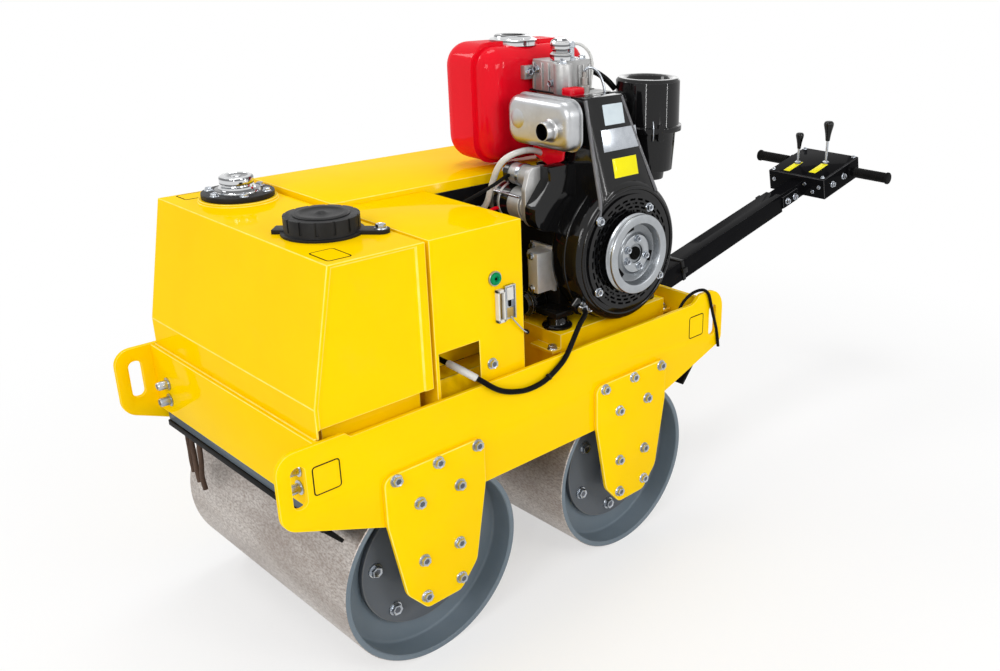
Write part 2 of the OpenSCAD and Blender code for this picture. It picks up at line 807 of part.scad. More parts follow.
// Start pulley turned about the crankshaft, with its rim, web, slots and shaft
module start_pulley() {
    color(zinc) placed() difference() {
        translate([crank_x, 0, crank_z]) rotate([-90, 0, 0]) rotate_extrude()
            polygon([[0, shroud_back - 50], [crank_d / 2, shroud_back - 50], [crank_d / 2, pulley_back],
                [pulley_d / 2 - 6, pulley_back], [pulley_d / 2, pulley_back + 3],
                [pulley_d / 2 - 9, pulley_back + pulley_w / 2], [pulley_d / 2, pulley_back + pulley_w - 3],
                [pulley_d / 2 - 4, pulley_back + pulley_w], [pulley_d / 2 - 22, pulley_back + pulley_w],
                [pulley_d / 2 - 26, pulley_back + pulley_web], [46, pulley_back + pulley_web],
                [40, pulley_back + 2 * pulley_web], [0, pulley_back + 2 * pulley_web]]);
        for (i = [0 : 2]) translate([crank_x, 0, crank_z]) rotate([0, 120 * i + 40, 0])
            box(-12, 12, pulley_back - 1, pulley_back + pulley_web + 1, 52, 62);
    }
}

muffler_r = 26;
muffler_edge = 18;
seam_at = 10;
seam_t = 4;
seam_rise = 4;
dome_in = 40;
dome_up = 58;
dome_d = 46;

// Muffler on the front of the cylinder head, its outlet facing the tank
module muffler() {
    face = muffler_back + muffler_depth;
    y1 = muffler_y0 + muffler_len;
    z1 = muffler_z0 + muffler_h;
    color(zinc) placed() difference() {
        union() {
            intersection() {
                along(muffler_back, face) polygon(block_path(muffler_y0, muffler_z0, y1, z1, muffler_r));
                across(muffler_y0, y1) polygon(rounded([[muffler_back, muffler_z0, 8],
                    [face, muffler_z0, muffler_edge], [face, z1, muffler_edge], [muffler_back, z1, 8]]));
                rise(muffler_z0, z1) polygon(rounded([[muffler_back, muffler_y0, 8],
                    [face, muffler_y0, muffler_edge], [face, y1, muffler_edge], [muffler_back, y1, 8]]));
            }
            along(muffler_back + seam_at, muffler_back + seam_at + seam_t)
                polygon(block_path(muffler_y0 - seam_rise, muffler_z0 - seam_rise,
                    y1 + seam_rise, z1 + seam_rise, muffler_r + seam_rise));
            bar_x(muffler_y0 + dome_in, muffler_z0 + dome_up, dome_d, face - 1, face + 3);
            bar_x(outlet_y, outlet_z, outlet_d, face - tiny, face + outlet_len);
            bar_x((head_y0 + head_y1) / 2, muffler_z0 + muffler_h / 2, 48, head_front, muffler_back + tiny);
        }
        bar_x(outlet_y, outlet_z, outlet_d - 2 * outlet_wall, face - 30, face + outlet_len + 1);
    }
}

fuel_cap_d = 110;
fuel_cap_back = 146;
fuel_cap_h = 14;
fuel_seam_t = 7;
fuel_seam_rise = 3;

// Fuel tank: three rounded outlines crossed, with the raised seam of its two halves
module fuel_tank() {
    back = fuel_y1 - fuel_w;
    rear = fuel_front - fuel_len;
    top = fuel_z0 + fuel_h;
    seam = fuel_y1 - fuel_seam_in;
    rim = fuel_seam_rise;
    color(red) placed() difference() {
        union() {
            intersection() {
                across(back, fuel_y1) polygon(block_path(rear, fuel_z0, fuel_front, top, fuel_r));
                rise(fuel_z0, top) polygon(block_path(rear, back, fuel_front, fuel_y1, fuel_r));
                along(rear, fuel_front) polygon(block_path(back, fuel_z0, fuel_y1, top, fuel_r));
            }
            across(seam - fuel_seam_t, seam)
                polygon(block_path(rear - rim, fuel_z0 - rim, fuel_front + rim, top + rim, fuel_r + rim));
        }
        translate([fuel_front - fuel_cap_back, fuel_y1 - fuel_cap_in, top])
            cylinder(d = fuel_cap_d + 4, h = 2 * rim);
    }
}

module fuel_cap() {
    r = fuel_cap_d / 2;
    color(zinc) placed() translate([fuel_front - fuel_cap_back, fuel_y1 - fuel_cap_in, fuel_z0 + fuel_h])
        rotate_extrude() polygon([[0, 0], [r, 0], [r, fuel_cap_h * 0.3], [r * 0.8, fuel_cap_h * 0.4],
            [r * 0.8, fuel_cap_h * 0.85], [r * 0.74, fuel_cap_h], [0, fuel_cap_h]]);
}

band_h = 16;
band_rise = 6;
pan_h = 105;
clip_w = 14;
clip_h = 24;
clip_turns = [65, 185, 305];

// Air cleaner: bowl with a dished top, clamp band with clips, and lower pan on its elbow
module air_cleaner() {
    r = cleaner_d / 2;
    h = cleaner_h;
    color(black) placed() {
        translate([cleaner_x, cleaner_y, cleaner_z]) {
            rotate_extrude() polygon([[0, h - 8], [14, h - 8], [17, h - 18], [r - 32, h - 18],
                [r - 25, h - 4], [r - 14, h], [r - 6, h - 1], [r, h - 8], [r, band_h / 2],
                [r + band_rise, band_h / 2 - 2],
                [r + band_rise, 2 - band_h / 2], [r - 8, -band_h / 2], [r - 10, -38], [r - 15, -pan_h],
                [r - 34, -pan_h - 3], [r - 37, -pan_h - 24], [0, -pan_h - 24]]);
            for (a = clip_turns) rotate(a)
                translate([r - 4, -clip_w / 2, -clip_h]) cube([band_rise + 6, clip_w, clip_h + band_h]);
        }
        bar_x(head_y1 - 30, head_top - 34, 50, cleaner_x, head_rear);
    }
}

starter_y0 = 28;
solenoid_rise = 66;
solenoid_d = 50;

// Starter motor with its solenoid, bolted to the back of the shroud by a flange
module starter_motor() {
    half = starter_d / 2 + 6;
    ear = solenoid_d / 2 + 4;
    color(zinc) placed() {
        bar_y(starter_x, starter_z, starter_d, starter_y0, shroud_back - 34);
        bar_y(starter_x, starter_z, starter_d + 6, starter_y0 + 34, starter_y0 + 42);
        bar_y(starter_x, starter_z, starter_d - 14, starter_y0 - 9, shroud_back - 10);
        bar_y(starter_x, starter_z + solenoid_rise, solenoid_d, starter_y0 + 54, shroud_back - 20);
        bar_y(starter_x, starter_z + solenoid_rise, solenoid_d - 14, starter_y0 + 42, shroud_back - 10);
        across(shroud_back - 14, shroud_back) polygon(rounded([
            [starter_x - half, starter_z - half, half * 0.8],
            [starter_x + half, starter_z - half, half * 0.8],
            [starter_x + half, starter_z + half, 30],
            [starter_x + ear, starter_z + solenoid_rise + ear, 24],
            [starter_x - ear, starter_z + solenoid_rise + ear, 24],
            [starter_x - half, starter_z + half, 30]]));
    }
}

pump_low = 98;
pump_high = 10;
pump_depth = 60;

// Pump cover: a tall box with a lower body beside it and a flange on the block
module pump_cover() {
    y1 = shroud_back - 8;
    color(zinc) placed() {
        box(block_front, block_front + 8, y1 - 82, y1, crank_z - pump_low, crank_z + pump_high);
        rise(crank_z - pump_low + 6, crank_z + pump_high - 6)
            polygon([[block_front, y1], [block_front + pump_depth, y1], [block_front + pump_depth, y1 - 30],
                [block_front + pump_depth - 10, y1 - 44], [block_front, y1 - 44]]);
        bar_x(y1 - 62, crank_z - 20, 34, block_front, block_front + 22);
        bar_x(y1 - 62, crank_z - 70, 26, block_front, block_front + 16);
    }
}

filter_d = 56;
filter_len = 66;
filter_y = 108;

// Oil filter: a canister with its rolled rim
module oil_filter() {
    r = filter_d / 2;
    color(black) placed() translate([block_front, filter_y, block_low + base_t + 1])
        rotate([0, 90, 0]) rotate_extrude() polygon([[0, 0], [r * 0.8, 0], [r * 0.8, 8], [r, 12],
            [r, filter_len - 16], [r * 1.1, filter_len - 14], [r * 1.1, filter_len - 9],
            [r, filter_len - 7], [r * 0.85, filter_len], [0, filter_len]]);
}

cheek_t = 12;
cheek_gap = 6;

// Two cheeks on the rear beam that carry the arm's pin
module arm_bracket() {
    y0 = arm_w / 2 + cheek_gap;
    color(yellow) placed() {
        both_sides() across(y0, y0 + cheek_t) polygon(rounded([
            [rear_beam_x, pivot_z + 60, 0], [pivot_x - 30, pivot_z + 30, 26],
            [pivot_x - 30, pivot_z - 28, 26], [rear_beam_x, pivot_z - 28, 0]]));
        bar_y(pivot_x, pivot_z, pin_d, -y0 - tiny, y0 + tiny);
    }
}

// Places the arm's own frame: along the arm, across and above it, from the pivot
module on_arm() {
    translate([pivot_x, 0, pivot_z]) rotate([0, 180 + arm_tilt, 0]) mirror([0, 0, 1]) children();
}

stub_show = 130;

// Square tube from the pivot, with the smaller tube that slides into it and carries the control box
module handle_arm() {
    half = arm_w / 2;
    inner = half - arm_wall;
    bore = inner - arm_wall;
    color(black) placed() on_arm() difference() {
        union() {
            box(0, arm_len - stub_show, -half, half, -half, half);
            box(arm_len - 2 * stub_show, arm_len, -inner - tiny, inner + tiny, -inner - tiny, inner + tiny);
            bar_y(0, 0, arm_w, -half - cheek_gap + 0.5, half + cheek_gap - 0.5);
        }
        box(half + 10, arm_len - 2 * stub_show, -inner, inner, -inner, inner);
        box(arm_len - 2 * stub_show - 1, arm_len + 1, -bore, bore, -bore, bore);
        bar_y(0, 0, pin_d + 2 * run_fit, -arm_w, arm_w);
    }
}

module control_box() {
    color(black) placed() on_arm() difference() {
        box(arm_len, arm_len + box_len, -box_w / 2, box_w / 2, -box_drop, box_h - box_drop);
        box(arm_len + box_wall, arm_len + box_len - box_wall, -box_w / 2 + box_wall, box_w / 2 - box_wall,
            -box_drop - 1, box_h - box_drop - box_wall);
    }
}

grip_at = 153;
grip_v = 15;
grip_len = 125;

// Handle bars out of both sides of the box, with their grips
module hand_grips() {
    color(black) placed() on_arm() both_sides() {
        bar_y(arm_len + grip_at, grip_v, bar_d, box_w / 2, grip_span / 2 - 6);
        bar_y(arm_len + grip_at, grip_v, grip_d, grip_span / 2 - grip_len, grip_span / 2);
        bar_y(arm_len + grip_at, grip_v, grip_d + 5, grip_span / 2 - 9, grip_span / 2 - 2);
        bar_y(arm_len + grip_at, grip_v, grip_d + 10, box_w / 2, box_w / 2 + 14);
    }
}

// Lever on the box's top: a stem and a pear knob
module lever(u, y, stem, knob_d, knob_h) {
    top = box_h - box_drop;
    color(black) placed() on_arm() translate([arm_len + u, y, top]) rotate([0, arm_tilt, 0])
        rotate_extrude() polygon([[0, 2], [5, 2], [5, stem], [knob_d * 0.28, stem],
            [knob_d * 0.33, stem + knob_h * 0.3], [knob_d * 0.45, stem + knob_h * 0.65],
            [knob_d / 2, stem + knob_h * 0.8],
            [knob_d * 0.47, stem + knob_h * 0.9], [knob_d * 0.33, stem + knob_h * 0.98], [0, stem + knob_h]]);
}

module drive_lever() { lever(121, 40, 78, 34, 68); }
module vibration_lever() { lever(84, -48, 52, 28, 56); }

// Tube of diameter d along a route of points, with square ends
function ring_at(p, ahead, d, sides) =
    let (a = ahead / norm(ahead), ref = abs(a.z) > 0.9 ? [1, 0, 0] : [0, 0, 1],
         u = cross(a, ref) / norm(cross(a, ref)), v = cross(a, u))
    [for (i = [0 : sides - 1]) let (t = 360 * i / sides) p + d / 2 * (u * cos(t) + v * sin(t))];

module tube(points, d, sides = 8) {
    n = len(points);
    rings = [for (i = [0 : n - 1]) each ring_at(points[i],
        points[min(i + 1, n - 1)] - points[max(i - 1, 0)], d, sides)];
    walls = [for (i = [0 : n - 2], j = [0 : sides - 1]) let (k = (j + 1) % sides)
        each [[i * sides + j, i * sides + k, (i + 1) * sides + k],
            [i * sides + j, (i + 1) * sides + k, (i + 1) * sides + j]]];
    ends = [[for (j = [sides - 1 : -1 : 0]) j], [for (j = [0 : sides - 1]) (n - 1) * sides + j]];
    polyhedron(points = rings, faces = concat(walls, ends));
}

// Points on a smooth curve through the route, steps to each stretch
function smooth(route, steps) =
    let (n = len(route), at = function (i) route[max(0, min(n - 1, i))])
    [for (i = [0 : n - 2], s = [0 : steps - 1])
        let (t = s / steps, a = at(i - 1), b = at(i), c = at(i + 1), e = at(i + 2))
        0.5 * (2 * b + (c - a) * t + (2 * a - 5 * b + 4 * c - e) * t * t
            + (3 * b - a - 3 * c + e) * t * t * t),
     route[n - 1]];

engine_cable_d = 14;
engine_cable_route = [[-193, 265, 638], [-193, 280, 638], [-177, 300, 636], [-147, 314, 626],
    [-117, 328, 609], [-92, 340, 595], [-66, 348, 575], [-36, 349, 556], [0, 349, 541], [42, 349, 538],
    [78, 349, 545], [110, 349, 557], [135, 349, 573], [155, 347, 590], [172, 340, 605], [185, 325, 616],
    [192, 300, 623], [195, 270, 626], [195, 235, 627], [195, 202, 627]];
fuel_hose_d = 14;
fuel_hose_route = [[-120, 0, 838], [-120, 18, 840], [-120, 38, 862], [-120, 58, 908], [-122, 82, 952],
    [-140, 102, 976], [-190, 108, 982], [-236, 106, 966], [-262, 102, 936], [-268, 100, 900],
    [-268, 100, 877]];
tie_cord_d = 8;
tie_cord_route = [[-487, 329.6, 540], [-487, 324, 541], [-487, 318.5, 546], [-488, 316, 554],
    [-491, 316, 566], [-500, 317, 581], [-516, 319, 594], [-534, 322, 603], [-549, 329, 608.5],
    [-561, 338.5, 609], [-570, 344.5, 600], [-577, 345, 586], [-592, 344.4, 543], [-612, 344.4, 488],
    [-622, 344.4, 440]];

module engine_cable() { color(black) placed() tube(smooth(engine_cable_route, 2), engine_cable_d); }
module fuel_hose() { color("lightgrey") placed() tube(smooth(fuel_hose_route, 3), fuel_hose_d); }
module tie_cord() { color(black) placed() tube(smooth(tie_cord_route, 2), tie_cord_d); }

side_plate_left();
side_plate_right();
front_beam();
rear_beam();
deck();
hanger_front_left();
hanger_front_right();
hanger_rear_left();
hanger_rear_right();
front_axles();
rear_axles();
front_drum();
rear_drum();
front_discs();
rear_discs();
front_scraper();
rear_scraper();
front_rubber();
rear_rubber();
scraper_tines();
water_tank();
tank_base();
water_cap();
filler_flange();
breather_cap();
side_cover();
hood();
lamp();
latch();
battery();
engine_tray();
engine_feet();
engine_block();
cylinder_head();
fan_shroud();
fan_grille();
start_pulley();
muffler();
fuel_tank();
fuel_cap();
air_cleaner();
starter_motor();
pump_cover();
oil_filter();
arm_bracket();
handle_arm();
control_box();
hand_grips();
drive_lever();
vibration_lever();
engine_cable();
fuel_hose();
tie_cord();
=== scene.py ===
"""Walk-behind double drum roller: finishes, fastenings, cords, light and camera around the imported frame."""
import json
import math

import bmesh
import bpy
from mathutils import Matrix, Vector


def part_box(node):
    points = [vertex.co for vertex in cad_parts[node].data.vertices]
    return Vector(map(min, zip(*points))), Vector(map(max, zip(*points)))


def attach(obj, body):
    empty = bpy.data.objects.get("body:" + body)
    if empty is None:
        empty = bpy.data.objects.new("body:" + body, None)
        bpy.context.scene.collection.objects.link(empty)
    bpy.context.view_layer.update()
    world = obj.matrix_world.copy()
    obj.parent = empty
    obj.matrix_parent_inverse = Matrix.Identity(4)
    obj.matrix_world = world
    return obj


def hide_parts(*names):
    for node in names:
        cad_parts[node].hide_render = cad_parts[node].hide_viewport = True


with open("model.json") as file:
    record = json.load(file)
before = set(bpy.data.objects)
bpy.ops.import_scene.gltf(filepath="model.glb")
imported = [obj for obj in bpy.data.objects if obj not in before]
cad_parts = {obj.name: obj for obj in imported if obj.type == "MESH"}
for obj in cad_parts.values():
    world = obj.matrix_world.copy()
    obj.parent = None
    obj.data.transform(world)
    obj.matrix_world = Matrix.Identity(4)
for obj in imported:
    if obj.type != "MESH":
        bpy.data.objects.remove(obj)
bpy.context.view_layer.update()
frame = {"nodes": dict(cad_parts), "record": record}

MM = 0.001
# The drawing measures X from midway between the axles; the frame from the middle of the machine
SHIFT = 540.751
FULL_TURN = 2 * math.pi
AHEAD = Vector((1, 0, 0))
OUT = Vector((0, 1, 0))
UP = Vector((0, 0, 1))
SIDES = (1, -1)
# The drums' axles in X and Z, and the drums' radius
AXLES = {"front": 285, "rear": -285}
AXLE_Z = 213
DRUM_R = 213
# The crankshaft and the exhaust outlet
CRANK_X, CRANK_Z = -342, 746
OUTLET_Y, OUTLET_Z = 195, 1039


def at(x, y, z):
    """A point of the drawing, in millimetres, as a point of the frame."""
    return Vector(((x + SHIFT) * MM, y * MM, z * MM))


# Shader values and finishes

class Value:
    """A shader socket. Sums and products with it add Math nodes."""

    def __init__(self, nodes, socket):
        self.nodes = nodes
        self.socket = socket

    def math(self, operation, *terms):
        return self.nodes.node("Math", {"operation": operation}, dict(enumerate(terms)))

    def __add__(self, other):
        return self.math("ADD", self, other)

    def __sub__(self, other):
        return self.math("SUBTRACT", self, other)

    def __rsub__(self, other):
        return self.math("SUBTRACT", other, self)

    def __mul__(self, other):
        return self.math("MULTIPLY", self, other)

    def __gt__(self, other):
        return self.math("GREATER_THAN", self, other)

    __radd__ = __add__
    __rmul__ = __mul__

    def root(self):
        return self.math("SQRT", self)

    def sine(self):
        return self.math("SINE", self)

    def fade(self, low, high):
        """0 at low, 1 at high, smooth between them."""
        settings = {"interpolation_type": "SMOOTHSTEP"}
        return self.nodes.node("MapRange", settings, {"Value": self, "From Min": low, "From Max": high})


class Nodes:
    """A node tree, with the one method that adds nodes to it."""

    def __init__(self, tree):
        self.tree = tree

    def node(self, kind, settings=None, inputs=None, out=0):
        made = self.tree.nodes.new("ShaderNode" + kind)
        for key, value in (settings or {}).items():
            setattr(made, key, value)
        for key, value in (inputs or {}).items():
            if isinstance(value, Value):
                self.tree.links.new(value.socket, made.inputs[key])
            else:
                made.inputs[key].default_value = value
        return Value(self, made.outputs[out])

    def seen(self):
        """1 for what the camera sees straight, in a reflection or through something clear, else 0."""
        rays = self.node("LightPath")
        seen = rays
        for ray in ("Is Glossy Ray", "Is Transmission Ray"):
            seen = seen.math("MAXIMUM", seen, Value(self, rays.socket.node.outputs[ray]))
        return seen


class Finish(Nodes):
    """One material. Colours are linear, and patterns are laid out in the frame's metres."""

    def __init__(self, name, colour, rough, metal=0.0, coat=0.0, shine=0.5):
        self.material = bpy.data.materials.new(name)
        self.material.use_nodes = True
        super().__init__(self.material.node_tree)
        self.shader = self.tree.nodes["Principled BSDF"]
        self.set("Base Color", (*colour, 1))
        self.set("Roughness", rough)
        self.set("Metallic", metal)
        self.set("Coat Weight", coat)
        self.set("Specular IOR Level", shine)
        self.set("Coat Roughness", 0.07)
        self.place = self.node("TexCoord", out="Object")
        self.material.diffuse_color = (*colour, 1)

    def set(self, socket, value):
        if isinstance(value, Value):
            self.tree.links.new(value.socket, self.shader.inputs[socket])
        else:
            self.shader.inputs[socket].default_value = value

    def noise(self, scale, detail=3.0, rough=0.55, place=None):
        inputs = {"Vector": place or self.place, "Scale": scale, "Detail": detail, "Roughness": rough}
        return self.node("TexNoise", None, inputs)

    def stretched(self, scale, place=None):
        """Coordinates, the frame's unless others are given, stretched by a vector of scales."""
        return self.node("VectorMath", {"operation": "MULTIPLY"}, {0: place or self.place, 1: scale})

    def mix(self, share, first, second):
        first = first if isinstance(first, Value) else (*first, 1)
        second = second if isinstance(second, Value) else (*second, 1)
        return self.node("Mix", {"data_type": "RGBA"}, {0: share, 6: first, 7: second}, out=2)

    def edge(self):
        """1 on the rounded edges of a piece, 0 on its faces."""
        return self.node("Attribute", {"attribute_name": "edge"}, out="Fac")

    def parts(self):
        """The X, Y and Z of the frame's coordinates."""
        split = self.node("SeparateXYZ", None, {"Vector": self.place})
        return [Value(self, socket) for socket in split.socket.node.outputs]

    def radius(self, x, z):
        """Distance from a line along Y."""
        px, _, pz = self.parts()
        dx = px - x
        dz = pz - z
        return (dx * dx + dz * dz).root()

    def bump(self, height, strength, depth):
        inputs = {"Strength": strength, "Distance": depth, "Height": height}
        self.set("Normal", self.node("Bump", None, inputs))


def powder_coat(name, colour, deep, edge_wear_and_highlight, rough, coat=0.15, peel=0.12, dust=0.04):
    """Sprayed and baked paint: orange peel, uneven tone, thin bright edges that are partly wear and partly
    painted highlight, and a little settled dust.
    """
    f = Finish(name, colour, rough, coat=coat, shine=0.0)
    tone = f.noise(4.0, 4.0).fade(0.35, 0.75)
    painted = f.mix(tone * 0.6, colour, deep)
    cloud = f.noise(14.0, 6.0, 0.65).fade(0.5, 0.85)
    specks = f.noise(650.0, 2.0).fade(0.68, 0.8)
    dusty = f.mix(cloud * dust + specks * dust, painted, (0.4, 0.36, 0.3))
    # Rounded edges lighten towards the edge colour: partly wear, partly painted highlight.
    edge_scuff_and_highlight = f.edge() * (f.noise(30.0, 4.0).fade(0.3, 0.7) * 0.35 + 0.4)
    f.set("Base Color", f.mix(edge_scuff_and_highlight, dusty, edge_wear_and_highlight))
    f.set("Roughness", f.noise(30.0, 4.0) * 0.12 + (rough - 0.06) + cloud * 0.08)
    f.bump(f.noise(1000.0, 2.0) + f.noise(160.0, 2.0) * 0.7, peel, 0.0005)
    return f.material


def bare_metal(name, colour, deep, rough, grain=600.0, depth=0.0002, stain=None, metal=1.0):
    """Plated, cast or rolled metal with grain, cloudy oxide and an optional stain."""
    f = Finish(name, colour, rough, metal=metal)
    streak = f.noise(grain, 3.0, 0.6)
    cloud = f.noise(22.0, 5.0, 0.65).fade(0.3, 0.75)
    tinted = f.mix(cloud * 0.75 + streak * 0.2, colour, deep)
    if stain:
        tinted = f.mix(f.noise(70.0, 6.0, 0.7).fade(0.56, 0.74) * 0.6, tinted, stain)
    f.set("Base Color", f.mix(f.edge() * 0.5, tinted, [min(1, c * 1.35) for c in colour]))
    f.set("Roughness", streak * 0.22 + (rough - 0.12) + cloud * 0.1)
    f.bump(streak + cloud * 0.3, 0.35, depth)
    return f.material


def moulded(name, colour, deep, rough, grain=1400.0, depth=0.00025, shine=0.2):
    """Moulded rubber or plastic with a fine grain, worn smoother and greyer at its edges."""
    f = Finish(name, colour, rough, shine=shine)
    grit = f.noise(grain, 2.0)
    cloud = f.noise(30.0, 5.0, 0.6).fade(0.4, 0.75)
    greyed = f.mix(cloud * 0.6, colour, deep)
    f.set("Base Color", f.mix(f.edge() * 0.35, greyed, [c * 1.8 + 0.006 for c in deep]))
    f.set("Roughness", grit * 0.2 + (rough - 0.1) + cloud * 0.06)
    f.bump(grit, 0.4, depth)
    return f.material


def drum_finish(end):
    """Rolled steel outside, grey-blue paint inside, parted just under the outer radius."""
    x, _, z = at(AXLES[end], 0, AXLE_Z)
    f = Finish(end + "_drum_steel", (0.25, 0.22, 0.195), 0.5, shine=0.25)
    px, py, pz = f.parts()
    turn = f.node("Math", {"operation": "ARCTAN2"}, {0: pz - z, 1: px - x})
    unrolled = f.node("CombineXYZ", None, {"X": turn * (DRUM_R * MM), "Y": py, "Z": 0.0})
    patches = f.noise(1.0, 6.0, 0.62, f.stretched((9.0, 2.5, 1.0), unrolled)).fade(0.3, 0.7)
    mottle = f.noise(1.0, 6.0, 0.75, f.stretched((240.0, 95.0, 1.0), unrolled))
    rust = f.noise(40.0, 7.0, 0.72).fade(0.52, 0.72)
    mill = f.mix(patches, (0.36, 0.312, 0.28), (0.64, 0.6, 0.565))
    mill = f.mix(mottle.fade(0.4, 0.62) * 0.7, mill, (0.23, 0.19, 0.165))
    mill = f.mix(rust * 0.35, mill, (0.24, 0.165, 0.12))
    tone = f.noise(9.0, 5.0).fade(0.35, 0.75)
    paint = f.mix(tone * 0.6, (0.135, 0.172, 0.204), (0.17, 0.205, 0.238))
    paint = f.mix(f.noise(120.0, 4.0).fade(0.62, 0.78) * 0.18, paint, (0.26, 0.24, 0.21))
    outside = f.radius(x, z) > (DRUM_R - 1.5) * MM
    f.set("Base Color", f.mix(outside, paint, mill))
    f.set("Metallic", outside * 0.6)
    f.set("Roughness", outside * (mottle * 0.3 - 0.16) + 0.4)
    f.bump(mottle * outside + f.noise(700.0, 2.0) * 0.25, 0.4, 0.0006)
    return f.material


def pulley_metal(colour, deep):
    """Plated metal turned about the crankshaft, with fine tool rings, and painted shade darkening its dish
    and hub.
    """
    f = Finish("plated_pulley", colour, 0.28, metal=1.0)
    centre = at(CRANK_X, 0, CRANK_Z)
    far = f.radius(centre.x, centre.z)
    ring = (far * 2600.0).sine()
    cloud = f.noise(40.0, 5.0, 0.65).fade(0.35, 0.75)
    stain = f.noise(18.0, 5.0, 0.7).fade(0.6, 0.78)
    tinted = f.mix(cloud * 0.4, colour, deep)
    tinted = f.mix(stain * 0.12, tinted, (0.36, 0.27, 0.2))
    # Painted shade: the dish and the hub's middle are darkened.
    dish = (far.fade(0.043, 0.052) + (1 - far.fade(0.02, 0.03)) * 0.8) * (1 - far.fade(0.067, 0.075))
    tinted = f.mix(dish * 0.75, tinted, [c * 0.45 for c in deep])
    f.set("Base Color", f.mix(f.edge() * 0.4, tinted, (0.62, 0.64, 0.66)))
    f.set("Roughness", cloud * 0.08 + 0.28 + ring * 0.02)
    f.bump(ring + f.noise(500.0, 2.0), 0.08, 0.0001)
    return f.material


def heated_muffler():
    """Aluminised sheet that heat has turned straw-coloured round the outlet, with painted shade inside the
    outlet's bore.
    """
    f = Finish("aluminised_sheet", (0.55, 0.545, 0.53), 0.34, metal=1.0)
    outlet = at(-160, OUTLET_Y, OUTLET_Z)
    from_outlet = f.node("VectorMath", {"operation": "DISTANCE"}, {0: f.place, 1: outlet}, out="Value")
    grain = f.noise(800.0, 3.0, 0.6, f.stretched((1, 0.25, 1)))
    cloud = f.noise(26.0, 5.0, 0.6).fade(0.35, 0.75)
    sheet = f.mix(cloud * 0.6, (0.49, 0.5, 0.512), (0.36, 0.37, 0.382))
    heat = 1 - (from_outlet + f.noise(30.0, 4.0) * 0.05).fade(0.035, 0.105)
    sheet = f.mix(heat * 0.08, sheet, (0.46, 0.38, 0.27))
    _, py, pz = f.parts()
    dy = py - outlet.y
    dz = pz - outlet.z
    # Near black inside the outlet's bore: painted shade where the pipe runs into the can.
    inside = 1 - (dy * dy + dz * dz).root().fade(0.0182, 0.0188)
    f.set("Base Color", f.mix(inside * 0.97, sheet, (0.012, 0.011, 0.01)))
    f.set("Roughness", grain * 0.18 + 0.24 + cloud * 0.08)
    f.bump(grain + cloud, 0.25, 0.0003)
    return f.material


def chrome_plate():
    """Polished plate with painted reflections: level bands, dark as a studio's walls in it, and a little
    haze.
    """
    f = Finish("chrome_plate", (0.62, 0.63, 0.64), 0.12, metal=1.0)
    height = f.parts()[2]
    # Painted reflection: dark level bands across the height.
    band = (height * 520.0 + f.noise(9.0, 2.0) * 5.0).sine().fade(0.1, 0.75)
    haze = f.noise(60.0, 4.0).fade(0.45, 0.8)
    f.set("Base Color", f.mix(band * 0.8, (0.66, 0.67, 0.68), (0.07, 0.072, 0.078)))
    f.set("Roughness", haze * 0.12 + 0.08)
    return f.material


def green_lens():
    """Clear-coated green plastic with moulded rays round its middle."""
    f = Finish("green_lens", (0.0, 0.2, 0.07), 0.2, coat=0.22, shine=0.0)
    rays = f.noise(240.0, 2.0).fade(0.4, 0.65)
    f.set("Base Color", f.mix(rays * 0.5, (0.0, 0.2, 0.065), (0.0, 0.34, 0.12)))
    f.bump(rays, 0.3, 0.0004)
    return f.material


def clear_hose():
    """Milky hose with a sheen and a little grime."""
    f = Finish("milky_hose", (0.62, 0.62, 0.6), 0.32, coat=0.25)
    grime = f.noise(90.0, 5.0).fade(0.5, 0.75)
    f.set("Base Color", f.mix(grime * 0.4, (0.64, 0.64, 0.62), (0.38, 0.37, 0.34)))
    f.bump(f.noise(500.0, 2.0), 0.15, 0.0003)
    return f.material
